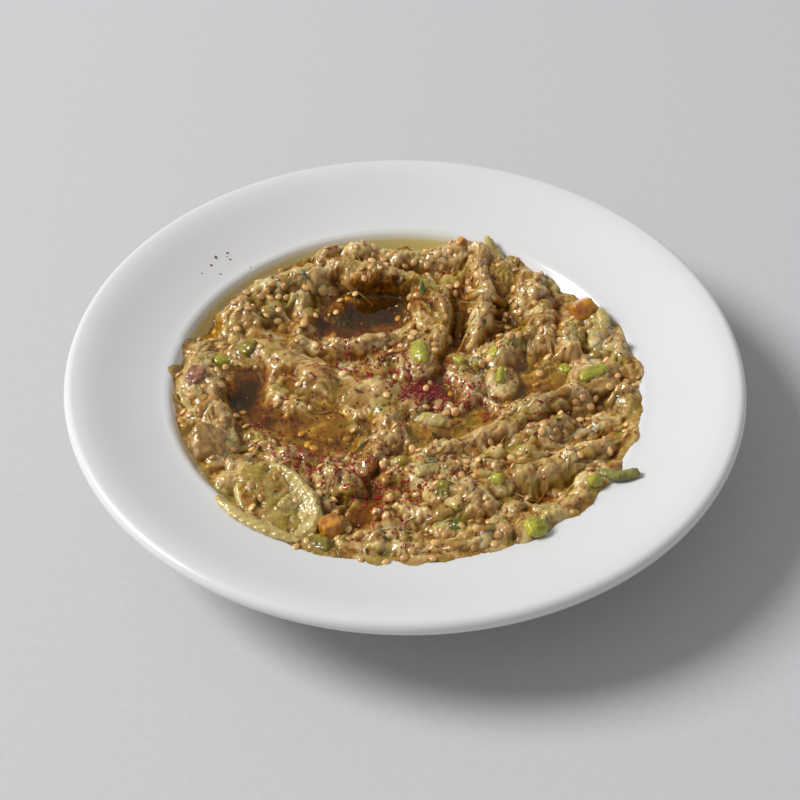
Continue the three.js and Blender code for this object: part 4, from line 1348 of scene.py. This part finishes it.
def piece_finishes(pepper):
    """The material of each kind of loose piece."""
    return {
        "pepper": wet_vegetable("green pepper", pepper, tuple(c * 0.6 for c in pepper), clear=0.6),
        "olive": wet_vegetable(
            "olive green pepper", (0.28, 0.23, 0.022), (0.14, 0.1, 0.009), depth=0.3, clear=0.5),
        "herb": wet_vegetable("dark herb", (0.13, 0.15, 0.008), (0.06, 0.07, 0.005), clear=0.3),
        "amber": wet_vegetable(
            "amber vegetable", (0.64, 0.3, 0.028), (0.3, 0.09, 0.008), depth=0.3, clear=0.8),
        "flesh": wet_vegetable("large shreds", (0.6, 0.47, 0.18), (0.38, 0.27, 0.07), clear=0.7),
        "skin": wet_vegetable(
            "aubergine skin", (0.42, 0.2, 0.1), (0.16, 0.055, 0.03), depth=0.3, clear=0.5),
        "stem": wet_vegetable("stem", (0.26, 0.24, 0.06), (0.12, 0.1, 0.03), gleam=0.4),
        "lump": wet_vegetable("clear lump", (0.46, 0.28, 0.09), (0.24, 0.12, 0.02), depth=0.4, clear=0.8),
    }


class GANOUSH_OT_pieces(bpy.types.Operator):
    """Finish the vegetable pieces that lie in the mash"""

    bl_idname = "ganoush.pieces"
    bl_label = "Vegetable pieces"

    def execute(self, context):
        finishes = piece_finishes(tuple(context.scene.ganoush_toppings.pepper))
        slots = {part["node"]: part["material_slot"] for part in frame["record"]["subparts"]}
        for node in LOOSE_NODES:
            sharp = node.startswith("amber")
            finish = finishes["lump" if node == "grey_lump" else slots[node]]
            piece = fine_piece(node, finish, passes=2 if sharp else 8, rough=0.05 if sharp else 0.1)
            place_piece(piece, [node])
        return {"FINISHED"}


def blob(place, size, draw):
    """A small uneven ball of eight-sided rings, as places and faces."""
    rings, sides = 5, 8
    angle = np.arange(sides) * 2 * math.pi / sides
    places = [(0, 0, 1.0)]
    for ring in range(1, rings):
        fall = math.pi * ring / rings
        places += [(math.sin(fall) * c, math.sin(fall) * s, math.cos(fall))
                   for c, s in zip(np.cos(angle), np.sin(angle))]
    places.append((0, 0, -1.0))
    faces = ring_faces(rings - 1, sides, 1, (0, len(places) - 1))
    uneven = 1 + 0.12 * draw.normal(0, 1, (len(places), 1))
    return np.array(places) * uneven * size + place, faces


def shell_pulp(material):
    """Seedy pulp that fills the curled shell and covers its far end."""
    draw = np.random.default_rng(61)
    heap = Heap()
    count, least, most = PULP_BLOBS
    for _ in range(count):
        angle, share = draw.uniform(0, 2 * math.pi), math.sqrt(draw.uniform())
        across, along = PULP_HALF[0] * share * math.cos(angle), PULP_HALF[1] * share * math.sin(angle)
        x = PULP_AT[0] + across * math.cos(PULP_TURN) - along * math.sin(PULP_TURN)
        y = PULP_AT[1] + across * math.sin(PULP_TURN) + along * math.cos(PULP_TURN)
        rise = np.interp(along, [-PULP_HALF[1] * 0.2, PULP_HALF[1] * 0.7], PULP_HEIGHTS) - 1.6 * share**2
        radius = draw.uniform(least, most)
        size = radius * np.array([1, draw.uniform(0.7, 1), draw.uniform(0.5, 0.7)])
        heap.add(*blob((x, y, rise - size[2] * 0.8), size, draw), 0)
    piece = heap.mesh("shell_pulp", material)
    remeshed(piece, PULP_VOXEL, 2, 0.5)
    return piece


def plate_specks(material, size):
    """A few grains of spice on the plate beside the mash."""
    draw = np.random.default_rng(71)
    heap = Heap()
    (x, y), spread, count = PLATE_SPECKS
    while count:
        place = np.array([x, y, 0]) + (*draw.normal(0, spread, 2), 0)
        radius = math.hypot(place[0], place[1])
        if not SHOULDER_RADIUS + 2 < radius < PLATE_RADIUS - 10:
            continue
        place[2] = well_height(radius) + size * 0.1
        shape = size * draw.uniform(0.25, 0.6) * np.array([1, 0.8, 0.5])
        heap.add(*blob(place, shape, draw), draw.uniform())
        count -= 1
    return heap.mesh("spice_on_plate", material)


class GANOUSH_OT_oil(bpy.types.Operator):
    """Pour the oil into the troughs and round the mash"""

    bl_idname = "ganoush.oil"
    bl_label = "Oil"

    def execute(self, context):
        material = clear_oil(tuple(context.scene.ganoush_toppings.oil))
        bed = np.where(ground().inside > 0, ground().height, ground().wall)
        for node, (level, (x, y)) in POOLS.items():
            near = np.hypot(GRID_X - x, GRID_Y - y) + 6 * (bed >= level)
            start = np.unravel_index(np.argmin(near), near.shape)
            wet = flooded(level, bed, start)
            pool = oil_sheet(node + "_surface", level, wet, bed, material, POOL_DEEP)
            place_piece(pool, [node])
        beside = (ground().inside < 1.5) & (bed < OIL_LEVEL)
        for node in WALL_OIL:
            (x0, x1, y0, y1), = cad_boxes([node], 1.0)
            here = beside & (GRID_X > x0) & (GRID_X < x1) & (GRID_Y > y0) & (GRID_Y < y1)
            film = oil_sheet(node + "_film", OIL_LEVEL, here, bed, material, FILM_DEEP, creep=8)
            place_piece(film, [node])
        return {"FINISHED"}


class GANOUSH_OT_scatter(bpy.types.Operator):
    """Scatter the seeds, the spice and the herb flecks"""

    bl_idname = "ganoush.scatter"
    bl_label = "Seeds and spice"

    def execute(self, context):
        mash = context.scene.ganoush_mash
        toppings = context.scene.ganoush_toppings
        beds = WORK["beds"]
        long = mash.seed_length

        def seed_weight(x, y):
            """Seeds lie in clumps, and few lie in pools and at the edge."""
            clumps = np.clip(0.5 + 0.6 * waves(x, y, 13, 41), 0.05, 1) ** 1.5
            calm = at_places(ground().calm, x, y)
            edge = np.clip(at_places(ground().inside, x, y) / 3, 0, 1)
            return clumps * np.clip(calm * 1.2 - 0.2, 0.05, 1) * edge

        tree = scatter_tree("scatter seeds", seed_skin(tuple(mash.seed_colour)), "seed")
        seeds = scatter("seeds", beds, seed_weight, tree, {
            "Spacing": mash.seed_spacing, "Density": 90000.0, "Size": (long, long * 0.8, long * 0.42),
            "Spread": 0.18, "Lift": long * 0.02, "Tilt": 0.5, "Seed": 5})
        place_piece(seeds, [])

        def spice_weight(x, y):
            """Spice lies where it fell, in small clusters."""
            total = np.zeros_like(x)
            for (cx, cy), spread, share in DUSTINGS:
                total += 0.75 * share * np.exp(-0.5 * ((x - cx) ** 2 + (y - cy) ** 2) / (spread * 0.7) ** 2)
            clusters = np.clip(0.35 + waves(x, y, 5, 51), 0.04, 2)
            return total * clusters * (at_places(ground().inside, x, y) > 1)

        size = toppings.grain
        dust = spice_dust(tuple(toppings.spice))
        place_piece(plate_specks(dust, size / METRES), [])
        tree = scatter_tree("scatter spice", dust, "grain")
        spice = scatter("spice_grains", beds, spice_weight, tree, {
            "Spacing": 0.0004, "Density": 2200000.0, "Size": (size, size * 0.8, size * 0.45),
            "Spread": 0.6, "Lift": size * 0.1, "Tilt": 1.2, "Seed": 9})
        place_piece(spice, [])

        def herb_weight(x, y):
            """Herb flecks lie anywhere on the mash but at its edge."""
            return np.full_like(x, 0.5) * (at_places(ground().inside, x, y) > 2)

        leaf = wet_vegetable("herb fleck", (0.065, 0.1, 0.008), (0.03, 0.045, 0.004))
        tree = scatter_tree("scatter herbs", leaf, "grain")
        herbs = scatter("herb_flecks", beds, herb_weight, tree, {
            "Spacing": 0.006, "Density": 9000.0, "Size": (0.0022, 0.0011, 0.0003),
            "Spread": 0.5, "Lift": 0.0002, "Tilt": 0.5, "Seed": 13})
        place_piece(herbs, [])
        return {"FINISHED"}


class GANOUSH_OT_stage(bpy.types.Operator):
    """Set the floor, the lights and the camera"""

    bl_idname = "ganoush.stage"
    bl_label = "Stage"

    def execute(self, context):
        settings = context.scene.ganoush_stage
        signs = ((-1, -1), (1, -1), (1, 1), (-1, 1))
        corners = [(STAGE_HALF * a, STAGE_HALF * b, -STAGE_DROP) for a, b in signs]
        floor = mesh_object("floor", corners, [(0, 1, 2, 3)], plain_floor(tuple(settings.floor)))

        light = bpy.data.lights.new("key", "AREA")
        light.shape = "DISK"
        light.size = KEY_SIZE
        light.energy = settings.key_power
        lamp = new_object("key", light)
        lamp.location = KEY_PLACE
        lamp.rotation_euler = (-Vector(KEY_PLACE)).to_track_quat("-Z", "Y").to_euler()
        world = bpy.data.worlds.new("soft room")
        world.use_nodes = True
        room = world.node_tree.nodes["Background"].inputs
        room["Color"].default_value = ROOM_COLOUR
        room["Strength"].default_value = settings.fill
        context.scene.world = world
        context.scene.view_settings.view_transform = "Standard"
        context.scene.view_settings.look = "None"

        back = Vector((0, -math.cos(CAMERA_ELEVATION), math.sin(CAMERA_ELEVATION)))
        level = Vector((1, 0, 0))
        raised = back.cross(level)
        right = level * math.cos(CAMERA_ROLL) + raised * math.sin(CAMERA_ROLL)
        up = raised * math.cos(CAMERA_ROLL) - level * math.sin(CAMERA_ROLL)
        camera = bpy.data.cameras.new("photo camera")
        camera.lens = CAMERA_LENS
        camera.sensor_width = SENSOR
        camera.clip_start = 0.01
        stand = new_object("photo camera", camera)
        turn = Matrix((right, up, back)).transposed().to_4x4()
        place = (Vector(CAMERA_TARGET) + back * CAMERA_DISTANCE) * METRES
        stand.matrix_world = Matrix.Translation(place) @ turn
        context.scene.camera = stand
        return {"FINISHED"}


class GANOUSH_PT_panel(bpy.types.Panel):
    """Lists the pieces and their settings in the sidebar"""

    bl_idname = "GANOUSH_PT_panel"
    bl_label = "Baba ganoush"
    bl_space_type = "VIEW_3D"
    bl_region_type = "UI"
    bl_category = "Ganoush"

    def draw(self, context):
        for name in GROUPS:
            box = self.layout.box()
            settings = getattr(context.scene, name)
            for key in settings.__annotations__:
                box.prop(settings, key)
        for operator in OPERATORS:
            self.layout.operator(operator.bl_idname)


GROUPS = {
    "ganoush_plate": PlateSettings,
    "ganoush_mash": MashSettings,
    "ganoush_toppings": ToppingSettings,
    "ganoush_stage": StageSettings,
}
OPERATORS = (
    GANOUSH_OT_stage, GANOUSH_OT_plate, GANOUSH_OT_mash, GANOUSH_OT_pieces, GANOUSH_OT_oil,
    GANOUSH_OT_scatter)
CLASSES = (*GROUPS.values(), *OPERATORS, GANOUSH_PT_panel)


def register():
    """Registers the classes and the settings."""
    for cls in CLASSES:
        bpy.utils.register_class(cls)
    for name, group in GROUPS.items():
        setattr(bpy.types.Scene, name, PointerProperty(type=group))


def unregister():
    """Takes the settings and the classes out again."""
    for name in GROUPS:
        delattr(bpy.types.Scene, name)
    for cls in reversed(CLASSES):
        bpy.utils.unregister_class(cls)


def main():
    """Makes every piece."""
    register()
    bpy.ops.ganoush.stage()
    bpy.ops.ganoush.plate()
    bpy.ops.ganoush.mash()
    bpy.ops.ganoush.pieces()
    bpy.ops.ganoush.oil()
    bpy.ops.ganoush.scatter()


if __name__ == "__main__":
    main()
